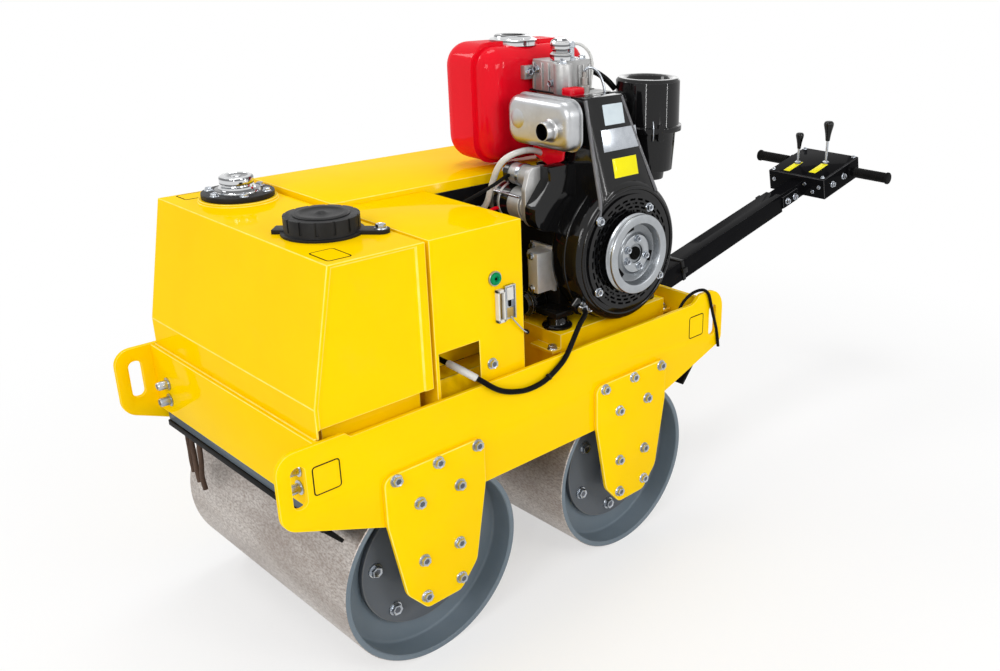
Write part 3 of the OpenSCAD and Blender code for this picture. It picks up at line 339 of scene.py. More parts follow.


# The third colour of each powder coat is its edge colour: partly wear, partly painted highlight on the
# rounded edges.
FINISHES = {
    "yellow": powder_coat("yellow_powder_coat", (0.97, 0.63, 0.0), (0.93, 0.57, 0.0), (1.0, 0.84, 0.22),
                          0.3, 0.12, 0.1, 0.02),
    "label_yellow": powder_coat("yellow_label", (0.86, 0.78, 0.01), (0.8, 0.7, 0.01), (0.9, 0.85, 0.2), 0.4),
    "grey_blue": powder_coat("grey_blue_paint", (0.115, 0.14, 0.165), (0.085, 0.105, 0.125),
                             (0.3, 0.31, 0.32), 0.4),
    "disc_grey": powder_coat("dark_grey_paint", (0.12, 0.133, 0.15), (0.092, 0.102, 0.116),
                             (0.22, 0.22, 0.22), 0.4),
    "gloss_black": powder_coat("gloss_black_paint", (0.0042, 0.0042, 0.0046), (0.0025, 0.0025, 0.003),
                               (0.16, 0.16, 0.165), 0.2, 0.65, 0.05, 0.006),
    "satin_black": powder_coat("satin_black_coat", (0.006, 0.006, 0.007), (0.0035, 0.0035, 0.004),
                               (0.11, 0.11, 0.115), 0.3, 0.045, 0.1, 0.006),
    # A lighter grey black for the neck's ribs: painted highlight along their whole length.
    "painted_highlight_black": powder_coat("painted_highlight_black_rib", (0.16, 0.16, 0.17), (0.02, 0.02, 0.022), (0.2, 0.2, 0.2),
                              0.25, 0.6),
    "red": powder_coat("red_enamel", (0.76, 0.004, 0.016), (0.66, 0.002, 0.011), (0.85, 0.05, 0.07),
                       0.2, 0.28, 0.04, 0.008),
    "bright": bare_metal("bright_casting", (0.86, 0.91, 0.98), (0.66, 0.7, 0.76), 0.34, 420.0, 0.0004,
                         metal=0.3),
    "steel": bare_metal("bright_steel", (0.42, 0.4, 0.38), (0.26, 0.24, 0.22), 0.42, 500.0,
                        stain=(0.2, 0.12, 0.07)),
    "zinc": bare_metal("zinc_plate", (0.56, 0.59, 0.63), (0.3, 0.325, 0.36), 0.24, 700.0, 0.00008),
    # Dark plate for the bolts' dished crowns: painted shade.
    "crown": bare_metal("bolt_crown_shade", (0.15, 0.16, 0.185), (0.09, 0.098, 0.115), 0.34, 700.0, 0.00008),
    "alloy": bare_metal("cast_alloy", (0.46, 0.46, 0.455), (0.3, 0.3, 0.3), 0.44, 420.0, 0.0007, metal=0.75),
    "chrome": chrome_plate(),
    "brass": bare_metal("brass", (0.5, 0.36, 0.12), (0.36, 0.24, 0.07), 0.3, 500.0, 0.00008),
    "iron": powder_coat("black_casting", (0.009, 0.009, 0.0095), (0.005, 0.005, 0.005), (0.03, 0.03, 0.03),
                        0.26, 0.25, 0.35, 0.012),
    "rust": bare_metal("rusty_bar", (0.085, 0.045, 0.025), (0.04, 0.021, 0.013), 0.72, 240.0, 0.0012,
                       stain=(0.15, 0.07, 0.025), metal=0.1),
    "rubber": moulded("black_rubber", (0.006, 0.006, 0.006), (0.012, 0.0115, 0.011), 0.5, shine=0.04),
    "cable": moulded("cable_sheath", (0.004, 0.004, 0.004), (0.007, 0.007, 0.007), 0.3, 700.0, 0.0001, 0.04),
    "plastic": moulded("black_plastic", (0.01, 0.01, 0.0105), (0.018, 0.018, 0.018), 0.44,
                       1800.0, 0.0003, 0.15),
    "knob": moulded("gloss_knob", (0.003, 0.003, 0.003), (0.005, 0.005, 0.005), 0.12, 300.0, 0.00005, 0.3),
    "white": moulded("white_plastic", (0.66, 0.65, 0.61), (0.54, 0.52, 0.45), 0.4, 900.0, 0.0001),
    "pale": moulded("pale_plate", (0.6, 0.68, 0.72), (0.5, 0.58, 0.63), 0.42, 900.0, 0.00005),
    # Near-black finish: where it fills slots and holes, it is painted shade.
    "hole": moulded("dark_hole", (0.002, 0.002, 0.002), (0.003, 0.003, 0.003), 0.8, 900.0, 0.0001, 0.05),
    "sleeve": moulded("grey_sleeve", (0.6, 0.6, 0.59), (0.44, 0.44, 0.43), 0.34, 500.0, 0.0002, 0.4),
    "lens": green_lens(),
    "hose": clear_hose(),
    "muffler": heated_muffler(),
    "pulley": pulley_metal((0.42, 0.44, 0.46), (0.28, 0.3, 0.32)),
    "front_drum": drum_finish("front"),
    "rear_drum": drum_finish("rear"),
}


# Mesh tools

def ride(piece, body, stands_for):
    """Puts a piece in the scene, on its body, in place of the nodes that it stands for."""
    bpy.context.scene.collection.objects.link(piece)
    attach(piece, body)
    if stands_for:
        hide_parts(*stands_for)
    return piece


def new_piece(name, bm, finishes, stands_for=(), smooth=38, body="chassis"):
    """Turns a bmesh into a piece with one finish, or a list of them."""
    keys = [finishes] if isinstance(finishes, str) else finishes
    mesh = bpy.data.meshes.new(name)
    bm.to_mesh(mesh)
    bm.free()
    for key in keys:
        mesh.materials.append(FINISHES[key])
    mesh.shade_smooth()
    mesh.set_sharp_from_angle(angle=math.radians(smooth))
    return ride(bpy.data.objects.new(name, mesh), body, stands_for)


def sharp_edges(bm, angle=28):
    limit = math.radians(angle)
    return [e for e in bm.edges if len(e.link_faces) == 2 and e.calc_face_angle(0) > limit]


def round_edges(bm, edges, width, segments=2):
    """Bevels edges and marks the new faces in the corner attribute that finishes read as worn edges and as
    painted edge highlights.
    """
    mark = bm.loops.layers.float.get("edge") or bm.loops.layers.float.new("edge")
    made = bmesh.ops.bevel(bm, geom=edges, offset=width * MM, offset_type="OFFSET", affect="EDGES",
                           segments=segments, profile=0.5, material=-1, clamp_overlap=True)
    for face in made["faces"]:
        for loop in face.loops:
            loop[mark] = 1.0


BODY_OF = {n: body for body, members in frame["record"]["behaviour"]["bodies"].items() for n in members}


def dressed(node, finish, width, segments=2, angle=28, smooth=38):
    """A copy of a CAD node with rounded edges and a finish, standing for the node."""
    bm = bmesh.new()
    bm.from_mesh(frame["nodes"][node].data)
    bmesh.ops.remove_doubles(bm, verts=bm.verts, dist=2e-5)
    bmesh.ops.dissolve_limit(bm, angle_limit=math.radians(0.6), verts=bm.verts, edges=bm.edges)
    round_edges(bm, sharp_edges(bm, angle), width, segments)
    return new_piece(node + "_body", bm, finish, [node], smooth, BODY_OF[node])


def lathe(bm, rows, centre, axis, steps=48):
    """Spins a profile of (radius, height) rows in millimetres about an axis through centre."""
    axis = Vector(axis).normalized()
    out = axis.orthogonal().normalized()
    verts = [bm.verts.new(centre + out * (r * MM) + axis * (h * MM)) for r, h in rows]
    edges = [bm.edges.new(pair) for pair in zip(verts, verts[1:])]
    bmesh.ops.spin(bm, geom=verts + edges, cent=centre, axis=axis, dvec=(0, 0, 0),
                   angle=FULL_TURN, steps=steps, use_merge=True, use_duplicate=False)
    bmesh.ops.remove_doubles(bm, verts=bm.verts, dist=1e-6)
    bmesh.ops.recalc_face_normals(bm, faces=bm.faces)


def band(inner, outer, low, high):
    """The closed profile of a plain ring."""
    return [(inner, low), (outer, low), (outer, high), (inner, high), (inner, low)]


def turned(name, rows, centre, axis, finish, stands_for=(), steps=48, smooth=38, body="chassis"):
    """A turned piece of its own."""
    bm = bmesh.new()
    lathe(bm, rows, centre, axis, steps)
    return new_piece(name, bm, finish, stands_for, smooth, body)


def facing(centre, way):
    """The matrix that stands a shape made along Z on a point, pointing along way."""
    return Matrix.Translation(centre) @ Vector(way).to_track_quat("Z", "Y").to_matrix().to_4x4()


def add_bolt(bm, centre, way, size=12, turn=0.0):
    """Adds a hex bolt head of a thread size in millimetres, with a dished crown in painted shade, on its
    washer.
    """
    stand = facing(centre, way) @ Matrix.Rotation(turn, 4, "Z")
    wide = size * MM
    rim = wide * 0.18
    tall = wide * 0.66
    bmesh.ops.create_cone(bm, cap_ends=True, segments=22, radius1=wide * 1.14, radius2=wide * 1.06,
                          depth=rim, matrix=stand @ Matrix.Translation((0, 0, rim / 2)))
    head = bmesh.ops.create_cone(bm, cap_ends=True, segments=6, radius1=wide * 0.9, radius2=wide * 0.9,
                                 depth=tall, matrix=stand @ Matrix.Translation((0, 0, rim + tall / 2)))
    flat = stand.inverted()
    faces = {face for vert in head["verts"] for face in vert.link_faces}
    crown = max(faces, key=lambda face: (flat @ face.calc_center_median()).z)
    bmesh.ops.bevel(bm, geom=crown.edges[:], offset=tall * 0.18, offset_type="OFFSET", affect="EDGES",
                    segments=2, profile=0.5, material=-1, clamp_overlap=True)
    near = [f for f in bm.faces if len(f.verts) == 6 and (f.calc_center_median() - centre).length < wide]
    crown = max(near, key=lambda f: (flat @ f.calc_center_median()).z)
    bmesh.ops.inset_individual(bm, faces=[crown], thickness=wide * 0.24, depth=-wide * 0.12)
    # The dished crown takes the dark crown finish: painted shade.
    crown.material_index = 1


def bolts(name, rows, size, body="chassis"):
    """One piece of many bolts. Each row is a point of the frame and the way its head faces."""
    bm = bmesh.new()
    for count, (centre, way) in enumerate(rows):
        add_bolt(bm, centre, way, size, count * 0.7)
    return new_piece(name, bm, ["zinc", "crown"], smooth=30, body=body)


def add_box(bm, low, high, stand=None):
    """Adds a box between two corners, in millimetres of the drawing, or of a stand's own frame."""
    middle = [(a + b) / 2 for a, b in zip(low, high)]
    size = [abs(b - a) * MM for a, b in zip(low, high)]
    place = stand @ Matrix.Translation(Vector(middle) * MM) if stand else Matrix.Translation(at(*middle))
    made = bmesh.ops.create_cube(bm, size=1.0, matrix=place @ Matrix.Diagonal((*size, 1)))
    return made["verts"]


def plate(name, boxes, finish, width, stand=None, body="chassis", stands_for=()):
    """A piece of one or more boxes with rounded edges."""
    bm = bmesh.new()
    for low, high in boxes:
        add_box(bm, low, high, stand)
    round_edges(bm, sharp_edges(bm), width)
    return new_piece(name, bm, finish, stands_for, body=body)


def loft(bm, loops):
    """Skins a row of closed loops of points and closes both ends."""
    rings = []
    for points in loops:
        verts = [bm.verts.new(point) for point in points]
        rings.append([bm.edges.new(pair) for pair in zip(verts, verts[1:] + verts[:1])])
    for first, second in zip(rings, rings[1:]):
        bmesh.ops.bridge_loops(bm, edges=first + second)
    for ring in (rings[0], rings[-1]):
        bmesh.ops.edgeloop_fill(bm, edges=ring)
    bmesh.ops.recalc_face_normals(bm, faces=bm.faces)


def rounded_loop(low, high, radius, steps=9):
    """Points round a rectangle with round corners, as pairs."""
    points = []
    for corner, (cx, cz) in enumerate(((1, 1), (0, 1), (0, 0), (1, 0))):
        mx = high[0] - radius if cx else low[0] + radius
        mz = high[1] - radius if cz else low[1] + radius
        for k in range(steps + 1):
            a = (corner + k / steps) * FULL_TURN / 4
            points.append((mx + radius * math.cos(a), mz + radius * math.sin(a)))
    return points


# Camera

EYE = at(1301.8, 1800.8, 1431.3)
YAW, PITCH, ROLL = (math.radians(a) for a in (221.17, -20.65, 1.22))
FOCAL_PX = 988.7
CENTRE_PX = (654.0, 314.6)
WIDE, TALL = 1000, 671


def photo_camera():
    """The camera solved from the photograph, with its off-centre frame as lens shift."""
    ahead = Vector((math.cos(PITCH) * math.cos(YAW), math.cos(PITCH) * math.sin(YAW), math.sin(PITCH)))
    right = ahead.cross(UP).normalized()
    up = right.cross(ahead)
    right, up = (math.cos(ROLL) * right + math.sin(ROLL) * up, math.cos(ROLL) * up - math.sin(ROLL) * right)
    data = bpy.data.cameras.new("photo_camera")
    data.sensor_width = 36
    data.lens = FOCAL_PX / WIDE * data.sensor_width
    data.shift_x = (WIDE / 2 - CENTRE_PX[0]) / WIDE
    data.shift_y = (CENTRE_PX[1] - TALL / 2) / WIDE
    camera = bpy.data.objects.new("photo_camera", data)
    turn = Matrix((right, up, -ahead)).transposed().to_4x4()
    camera.matrix_world = Matrix.Translation(EYE) @ turn
    bpy.context.scene.collection.objects.link(camera)
    bpy.context.scene.camera = camera


photo_camera()


# Cords

def smooth_route(route, steps=6):
    """Points on a smooth curve through the route."""
    ends = [route[0], *route, route[-1]]
    line = []
    for a, b, c, d in zip(ends, ends[1:], ends[2:], ends[3:]):
        for s in range(steps):
            t = s / steps
            line.append(0.5 * (2 * b + (c - a) * t + (2 * a - 5 * b + 4 * c - d) * t * t
                               + (3 * b - a - 3 * c + d) * t * t * t))
    return line + [route[-1]]


def swept(name, line, diameter, finish, stands_for=()):
    """A round section along a line of points."""
    data = bpy.data.curves.new(name, "CURVE")
    data.dimensions = "3D"
    data.bevel_depth = diameter * MM / 2
    data.bevel_resolution = 4
    data.use_fill_caps = True
    spline = data.splines.new("POLY")
    spline.points.add(len(line) - 1)
    for point, place in zip(spline.points, line):
        point.co = (*place, 1)
    data.materials.append(FINISHES[finish])
    return ride(bpy.data.objects.new(name, data), "chassis", stands_for)


def rod(name, rows, diameter, finish, stands_for=()):
    """A bent rod or rigid pipe through points of the drawing."""
    return swept(name, smooth_route([at(*row) for row in rows]), diameter, finish, stands_for)


def cord(name, rows, diameter, finish, stands_for=()):
    """A free cord along a given route, in millimetres of the drawing."""
    line = smooth_route([at(*row) for row in rows])
    piece = swept(name, line, diameter, finish, stands_for)
    length = sum((b - a).length for a, b in zip(line, line[1:]))
    return piece


ENGINE_CABLE = [(-193, 265, 638), (-193, 280, 638), (-177, 300, 636), (-147, 314, 626), (-117, 328, 609),
                (-92, 340, 595), (-66, 348, 575), (-36, 349, 556), (0, 349, 541), (42, 349, 538),
                (78, 349, 545), (110, 349, 557), (135, 349, 573), (155, 347, 590), (172, 340, 605),
                (185, 325, 616), (192, 300, 623), (195, 270, 626), (195, 235, 627), (195, 202, 627)]
FUEL_HOSE = [(-120, 0, 838), (-120, 18, 840), (-120, 38, 862), (-120, 58, 908), (-122, 82, 952),
             (-140, 102, 976), (-190, 108, 982), (-236, 106, 966), (-262, 102, 936), (-268, 100, 900),
             (-268, 100, 877)]
TIE_CORD = [(-487, 329.6, 540), (-487, 324, 541), (-487, 318.5, 546), (-488, 316, 554), (-491, 316, 566),
            (-500, 317, 581), (-516, 319, 594), (-534, 322, 603), (-549, 329, 608.5), (-561, 338.5, 609),
            (-570, 344.5, 600), (-577, 345, 586), (-592, 344.4, 543), (-612, 344.4, 488), (-622, 344.4, 440)]

# Battery leads from the starter to the cover, the return hose and the breather hose of the cylinder head
BLACK_LEAD = [(-145, 88, 928), (-132, 90, 926), (-120, 90, 921), (-106, 87, 914), (-88, 80, 904),
              (-66, 70, 892), (-42, 58, 879), (-20, 48, 867), (2, 40, 857), (18, 35.5, 852),
              (27.5, 34, 851)]
RED_LEAD = [(-130, 64, 850), (-118, 64, 850), (-104, 63, 846), (-88, 60, 838), (-70, 56, 828),
            (-50, 52, 818), (-30, 48, 810), (-8, 46, 806), (12, 45, 804), (27.5, 45, 804)]
RETURN_HOSE = [(-340, 97, 1207), (-348, 99, 1207.5), (-358, 100, 1206), (-369, 101, 1201.5),
               (-380, 102, 1194), (-389, 103, 1184), (-394, 104, 1172), (-396, 105, 1159),
               (-395, 106, 1146), (-392, 107, 1133), (-388, 108, 1120), (-385, 109, 1103)]
BREATHER_HOSE = [(-395, 66, 1140), (-410, 66, 1140), (-426, 68, 1138), (-442, 73, 1132), (-457, 80, 1122),
                 (-470, 89, 1109), (-482, 98, 1092)]

# The sleeve follows the cable round its bend
SLEEVE = [(170, 341, 603), *ENGINE_CABLE[15:17], (194, 282, 625)]
CABLE_PIECES = [
    rod("cable_sleeve", SLEEVE, 15, "sleeve"),
    turned("cable_tie", band(5.6, 7.6, -2, 2), at(-18, 349, 548), (0.93, 0, -0.37), "plastic", steps=20),
]
cord("engine_cable_cord", ENGINE_CABLE, 12, "cable", ["engine_cable"])
cord("fuel_hose_cord", FUEL_HOSE, 14, "hose", ["fuel_hose"])
cord("tie_cord_cord", TIE_CORD, 8, "rubber", ["tie_cord"])
cord("black_battery_lead", BLACK_LEAD, 8, "rubber")
cord("red_battery_lead", RED_LEAD, 8, "red")
cord("return_hose", RETURN_HOSE, 7, "hose")
cord("breather_hose", BREATHER_HOSE, 15, "cable")


# CAD nodes with rounded edges and a finish, by finish and edge width in millimetres

SHELLS = {
    ("yellow", 1.6): ["side_plate_left", "side_plate_right", "hanger_front_left", "hanger_front_right",
                      "hanger_rear_left", "hanger_rear_right"],
    ("yellow", 1.5): ["front_beam", "rear_beam", "engine_tray", "arm_bracket"],
    ("yellow", 1.4): ["hood"],
    ("yellow", 1.0): ["deck", "tank_base", "side_cover"],
    ("disc_grey", 2.0): ["front_discs", "rear_discs"],
    ("grey_blue", 0.8): ["front_scraper", "rear_scraper"],
    ("rubber", 2.0): ["front_rubber", "rear_rubber"],
    ("plastic", 3.0): ["battery"],
    ("plastic", 1.5): ["filler_flange"],
    ("plastic", 1.2): ["water_cap"],
    ("iron", 1.2): ["engine_block"],
    ("alloy", 2.0): ["cylinder_head"],
    ("alloy", 1.5): ["starter_motor"],
    ("bright", 1.5): ["pump_cover"],
    ("gloss_black", 1.0): ["air_cleaner"],
    ("gloss_black", 0.8): ["oil_filter"],
    ("satin_black", 2.5): ["handle_arm"],
    ("satin_black", 1.5): ["control_box"],
}
for (shell_finish, edge_width), nodes in SHELLS.items():
    for shell in nodes:
        dressed(shell, shell_finish, edge_width)
dressed("fan_shroud", "gloss_black", 4.0, segments=3)
# The tank's shallow folds are rounded and kept as folds too
dressed("water_tank", "yellow", 1.6, angle=8, smooth=7)


# Drums

DRUM_HALF = 325
DRUM_INNER = 200
WEB_IN, WEB_OUT = 256, 268
WEB_HOLE = 100


def drum(end):
    """A rolled shell with chamfered rims and a welded web near each end, turned in one profile."""
    half = [(DRUM_INNER, WEB_IN - 5), (DRUM_INNER - 5, WEB_IN), (WEB_HOLE, WEB_IN), (WEB_HOLE, WEB_OUT),
            (DRUM_INNER - 6, WEB_OUT), (DRUM_INNER - 2, WEB_OUT + 2), (DRUM_INNER, WEB_OUT + 6),
            (DRUM_INNER, DRUM_HALF - 2), (DRUM_INNER + 2, DRUM_HALF), (DRUM_R - 2, DRUM_HALF),
            (DRUM_R, DRUM_HALF - 2)]
    loop = half + [(r, -h) for r, h in reversed(half)] + half[:1]
    node = end + "_drum"
    turned(node + "_shell", loop, at(AXLES[end], 0, AXLE_Z), OUT, node, [node], 128, body=end + "_roll")


def axles(end):
    """A stub with its carrier on each side, slim enough for its facets to clear the disc's bore."""
    rows = [(0, 228), (33.4, 228), (34.4, 229), (34.4, 306), (66, 306), (68, 308), (68, 340), (0, 340)]
    bm = bmesh.new()
    for side in SIDES:
        lathe(bm, rows, at(AXLES[end], 0, AXLE_Z), (0, side, 0), 64)
    new_piece(end + "_axle_stubs", bm, "steel", [end + "_axles"])


# Fastenings

# Places of the hanger bolts about the axle: X, Z
HANGER_BOLTS = [(-102, 247), (-4, 247), (94, 247), (-53, 176), (45, 176), (-44, 43), (44, 43), (-44, -43),
                (44, -43)]
HANGER_FACE = 350
DISC_FACE = 282
DISC_BOLT_R = 119
DISC_BOLTS = 6
DISC_TURN = {"front": 11, "rear": 36.5}
BEAM_FACES = {530: 1, -560: -1}


def add_stud(bm, centre, way, size):
    """Adds a round flanged nut with the dished end of its bolt."""
    rows = [(0, 0), (1.15, 0), (1.15, 0.18), (0.8, 0.28), (0.76, 1.66), (0.64, 1.86), (0.4, 1.86),
            (0.34, 1.5), (0, 1.5)]
    lathe(bm, [(r * size, h * size) for r, h in rows], centre, way, 20)


def frame_bolts():
    rows = [(at(x + dx, side * HANGER_FACE, AXLE_Z + dz), (0, side, 0))
            for x in AXLES.values() for side in SIDES for dx, dz in HANGER_BOLTS]
    bolts("hanger_bolts", rows, 12)
    for end, x in AXLES.items():
        turns = [math.radians(DISC_TURN[end]) + k * FULL_TURN / DISC_BOLTS for k in range(DISC_BOLTS)]
        spots = [(x + DISC_BOLT_R * math.cos(a), AXLE_Z + DISC_BOLT_R * math.sin(a)) for a in turns]
        rows = [(at(u, side * DISC_FACE, v), (0, side, 0)) for side in SIDES for u, v in spots]
        bolts(end + "_disc_bolts", rows, 14, end + "_roll")
    bm = bmesh.new()
    for face, way in BEAM_FACES.items():
        for side in SIDES:
            for z in (515, 477):
                add_stud(bm, at(face, side * 268, z), (way, 0, 0), 12.5)
    new_piece("beam_studs", bm, "zinc", smooth=30)


def cover_bolts():
    rows = [(at(116, 325, 614), OUT), (at(-143, 225, 541), UP), (at(-533, 225, 541), UP),
            (at(283.6, 217.4, 913), UP)]
    rows += [(at(x, -325, z), -OUT) for x in (-400, -90, 220) for z in (486, 880)]
    bolts("cover_bolts", rows, 11)


for roll_end in AXLES:
    drum(roll_end)
    axles(roll_end)
frame_bolts()
cover_bolts()

# Scraper blades that slope back towards the drums: their outer edge in X, and the way they lean
for end, x, lean in (("front", 522, 1), ("rear", -552, -1)):
    blade = Matrix.Translation(at(x, 0, 400)) @ Matrix.Rotation(lean * math.radians(42), 4, "Y")
    plate(end + "_scraper_blade", [((-6, -316, -58), (2, 316, 0))], "rubber", 1.5, blade)

# Rusty scraper bars under the front rubber
TINES = [[(508, -262, 398), (509, -263, 380), (510, -259, 350), (509, -262, 320), (508, -260, 294)],
         [(508, -240, 398), (510, -243, 372), (511, -238, 340), (509, -242, 305), (508, -239, 276)],
         [(508, -213, 398), (507, -214, 376), (510, -209, 338), (511, -214, 300), (509, -211, 268)]]
for count, tine in enumerate(TINES):
    rod(f"scraper_tine_{count + 1}", tine, 11, "rust", ["scraper_tines"])


# Water tank and covers

FILLER = at(349, -207, 923)


def fillers():
    """Chrome breather on its domed foot, the flange's screws, and the water cap's stepped crown."""
    rows = [(0, 0), (47, 0), (47, 3), (45, 6), (38, 7), (36, 11), (30, 12.5), (29, 15), (33, 16),
            (34.5, 17.5), (34.5, 29), (33.5, 31.5), (30, 33.5), (25, 34), (23, 32.5), (11, 31.5), (9, 33),
            (0, 33)]
    turned("breather", rows, FILLER, UP, "chrome", ["breather_cap"], 56)
    crown = [(0, 0), (52, 0), (52, 2), (49, 4), (41, 4), (38, 2), (14, 2), (11, 3), (5, 6), (3, 6.5),
             (0, 6.5)]
    turned("water_cap_crown", crown, at(360, 141, 940.5), UP, "plastic")
    turns = [FULL_TURN * (k + 0.25) / 6 for k in range(6)]
    rows = [(FILLER + 0.06 * Vector((math.cos(a), math.sin(a), 0)), UP) for a in turns]
    bolts("filler_screws", rows, 8)


def lamp_and_latch():
    place = at(102, 325, 795)
    bezel = [(0, 0), (16, 0), (16, 3), (15, 4.5), (13.5, 4.5), (13, 3), (0, 3)]
    lens = [(13, 2), (13, 6), (11.5, 8.4), (8.5, 9.2), (6, 8), (5.2, 5.5), (0, 5.5)]
    turned("lamp_bezel", bezel, place, OUT, "zinc", ["lamp"])
    turned("lamp_lens", lens, place, OUT, "lens")
    turned("lamp_filament", [(3, 5), (3, 6.2), (2, 7.4), (0, 7.6)], place, OUT, "hole")
    plate("latch_plate", [((53, 325, 700), (80, 327.5, 774)), ((53, 325, 700), (55.5, 332, 774)),
                          ((77.5, 325, 700), (80, 332, 774)), ((55, 325, 771), (78, 332, 774))],
          "zinc", 0.5, stands_for=["latch"])
    plate("latch_keeper", [((58, 327, 742), (75, 331, 769))], "white", 0.8)
    # A near-black block paints the shade in the keyhole.
    plate("latch_keyhole", [((63, 327, 727), (70, 330.2, 741))], "hole", 2)
    plate("latch_bolt", [((58, 327, 704), (75, 329.5, 724))], "brass", 0.6)
    plate("latch_frame", [((84, 325, 700), (87.5, 336, 770)), ((98.5, 325, 700), (102, 336, 770)),
                          ((84, 325, 700), (102, 336, 706)), ((84, 325, 764), (102, 336, 770))],
          "white", 0.6)
    plate("latch_slide", [((88, 325, 707), (98, 329, 763))], "brass", 0.6)
    rod("latch_hook", [(67, 330, 706), (62, 331, 699), (50, 331.5, 684), (36, 331, 668), (27, 330, 660),
                       (19, 326, 656), (15, 318, 655), (16, 308, 655)], 3.2, "zinc")
    rod("latch_hook_grip", [(22, 328, 657), (18, 325, 655.5), (15, 318, 655), (15.5, 310, 655)], 8, "rubber")


def cable_port():
    """The ledge and panel behind the cable opening, and the grommet where the cable goes through."""
    plate("port_ledge", [((40, 286, 454), (252, 290, 600)), ((40, 236, 597), (252, 290, 600))],
          "yellow", 1)
    plate("tank_front_bead", [((514, -324, 586), (523, 324, 592.5))], "yellow", 1.8)
    plate("port_panel", [((40, 232, 600), (250, 235, 700))], "yellow", 1)
    ring = [(7.3, -4), (12, -4), (12, -1.5), (10, -1.5), (10, 1.5), (12, 1.5), (12, 4), (7.3, 4), (7.3, -4)]
    turned("port_grommet", ring, at(195, 233.5, 627), OUT, "rubber")
    for name, y, z in (("black_lead_grommet", 34, 851), ("red_lead_grommet", 45, 804)):
        grommet = [(4.2, -3), (9, -3), (9, -1), (7, 0), (4.2, 0), (4.2, -3)]
        turned(name, grommet, at(28, y, z), AHEAD, "rubber", steps=24)
    # A black sheet across the middle of the engine bay: painted shade deep in the bay.
    plate("bay_shade_sheet", [((-200, -1, 470), (24, 1.5, 893))], "satin_black", 0.6)


def hood_louvres():
    """Pressed air slats on the far hood, each a sloped lip over a near-black sheet that paints the shade in
    its slot.
    """
    lips = bmesh.new()
    slots = bmesh.new()
    for left in (-370, -205):
        for k in range(7):
            low = 612 + 24 * k
            lip = add_box(lips, (left, -329, low), (left + 130, -324, low + 13))
            top = [v for v in lip if v.co.z > at(0, 0, low + 8).z and v.co.y < at(0, -327, 0).y]
            bmesh.ops.translate(lips, verts=top, vec=(0, 4 * MM, 0))
            # Near-black sheet under each lip: painted shade in the slot.
            add_box(slots, (left + 3, -325.6, low - 5), (left + 127, -324, low))
    round_edges(lips, sharp_edges(lips), 1.2)
    new_piece("hood_louvre_lips", lips, "yellow")
    new_piece("hood_louvre_slot_shade", slots, "hole")


def sign(name, centre, right, up, wide, tall):
    """A blank sign: a thin black rim with rounded corners round a bare yellow field."""
    right, up = Vector(right), Vector(up)
    stand = Matrix((right, up, right.cross(up))).transposed().to_4x4()
    stand.translation = centre + right.cross(up) * 0.4 * MM
    bm = bmesh.new()
    size = Matrix.Diagonal((wide * MM, tall * MM, 1, 1))
    bmesh.ops.create_grid(bm, x_segments=1, y_segments=1, size=0.5, matrix=stand @ size)
    bmesh.ops.bevel(bm, geom=bm.verts[:], offset=7 * MM, offset_type="OFFSET", affect="VERTICES",
                    segments=4, profile=0.5, material=-1)
    rim = bmesh.ops.inset_region(bm, faces=bm.faces[:], thickness=2.6 * MM, use_boundary=True,
                                 use_even_offset=True)
    for face in bm.faces:
        face.material_index = 0 if face in rim["faces"] else 1
    bmesh.ops.solidify(bm, geom=bm.faces[:], thickness=0.3 * MM)
    bmesh.ops.recalc_face_normals(bm, faces=bm.faces)
    new_piece(name, bm, ["satin_black", "yellow"])


def signs():
    for end, x in (("front", 514), ("rear", -532)):
        for label, side in (("left", 1), ("right", -1)):
            sign(f"{end}_{label}_lifting_sign", at(x, side * 340, 520.5), (-side, 0, 0), UP, 56, 59)
    sign("tank_left_sign", at(428, 277, 905), (0, 1, 0), (-1, 0, 0), 66, 50)
    sign("tank_right_sign", at(400, -296, 905), (0, 1, 0), (-1, 0, 0), 50, 66)


fillers()
lamp_and_latch()
cable_port()
hood_louvres()
signs()


# Engine

GRILLE_FACE = 285
PULLEY_FACE = 291
# Rings of the pressed grille, and those that are slotted
GRILLE_RINGS = [44, 92, 96, 101, 105, 110, 114, 119, 123, 128, 134, 138]
SLOT_RINGS = [(96, 101), (105, 110), (114, 119), (123, 128)]
GRILLE_STEPS = 90


def pressed_grille():
    """A pressed disc with four staggered rings of slots, each two steps long with one step between."""
    centre = at(CRANK_X, GRILLE_FACE, CRANK_Z)
    bm = bmesh.new()
    lathe(bm, [(r, 0) for r in GRILLE_RINGS], centre, OUT, GRILLE_STEPS)
    slots = []
    for face in bm.faces:
        spot = (face.calc_center_median() - centre) / MM
        step = int(math.atan2(spot.z, spot.x) % FULL_TURN / FULL_TURN * GRILLE_STEPS)
        for row, (low, high) in enumerate(SLOT_RINGS):
            if low < spot.length < high and (step + row) % 3:
                slots.append(face)
    bmesh.ops.delete(bm, geom=slots, context="FACES")
    bmesh.ops.solidify(bm, geom=bm.faces[:], thickness=4 * MM)
    bmesh.ops.recalc_face_normals(bm, faces=bm.faces)
    low = min(v.co.y for v in bm.verts)
    bmesh.ops.translate(bm, verts=bm.verts[:], vec=(0, (GRILLE_FACE - 4) * MM - low, 0))
    new_piece("pressed_grille", bm, "gloss_black", ["fan_grille"])
    rows = [(-405, 843), (-240, 839), (-235, 671), (-446, 665)]
    bolts("grille_bolts", [(at(x, GRILLE_FACE, z), OUT) for x, z in rows], 10)


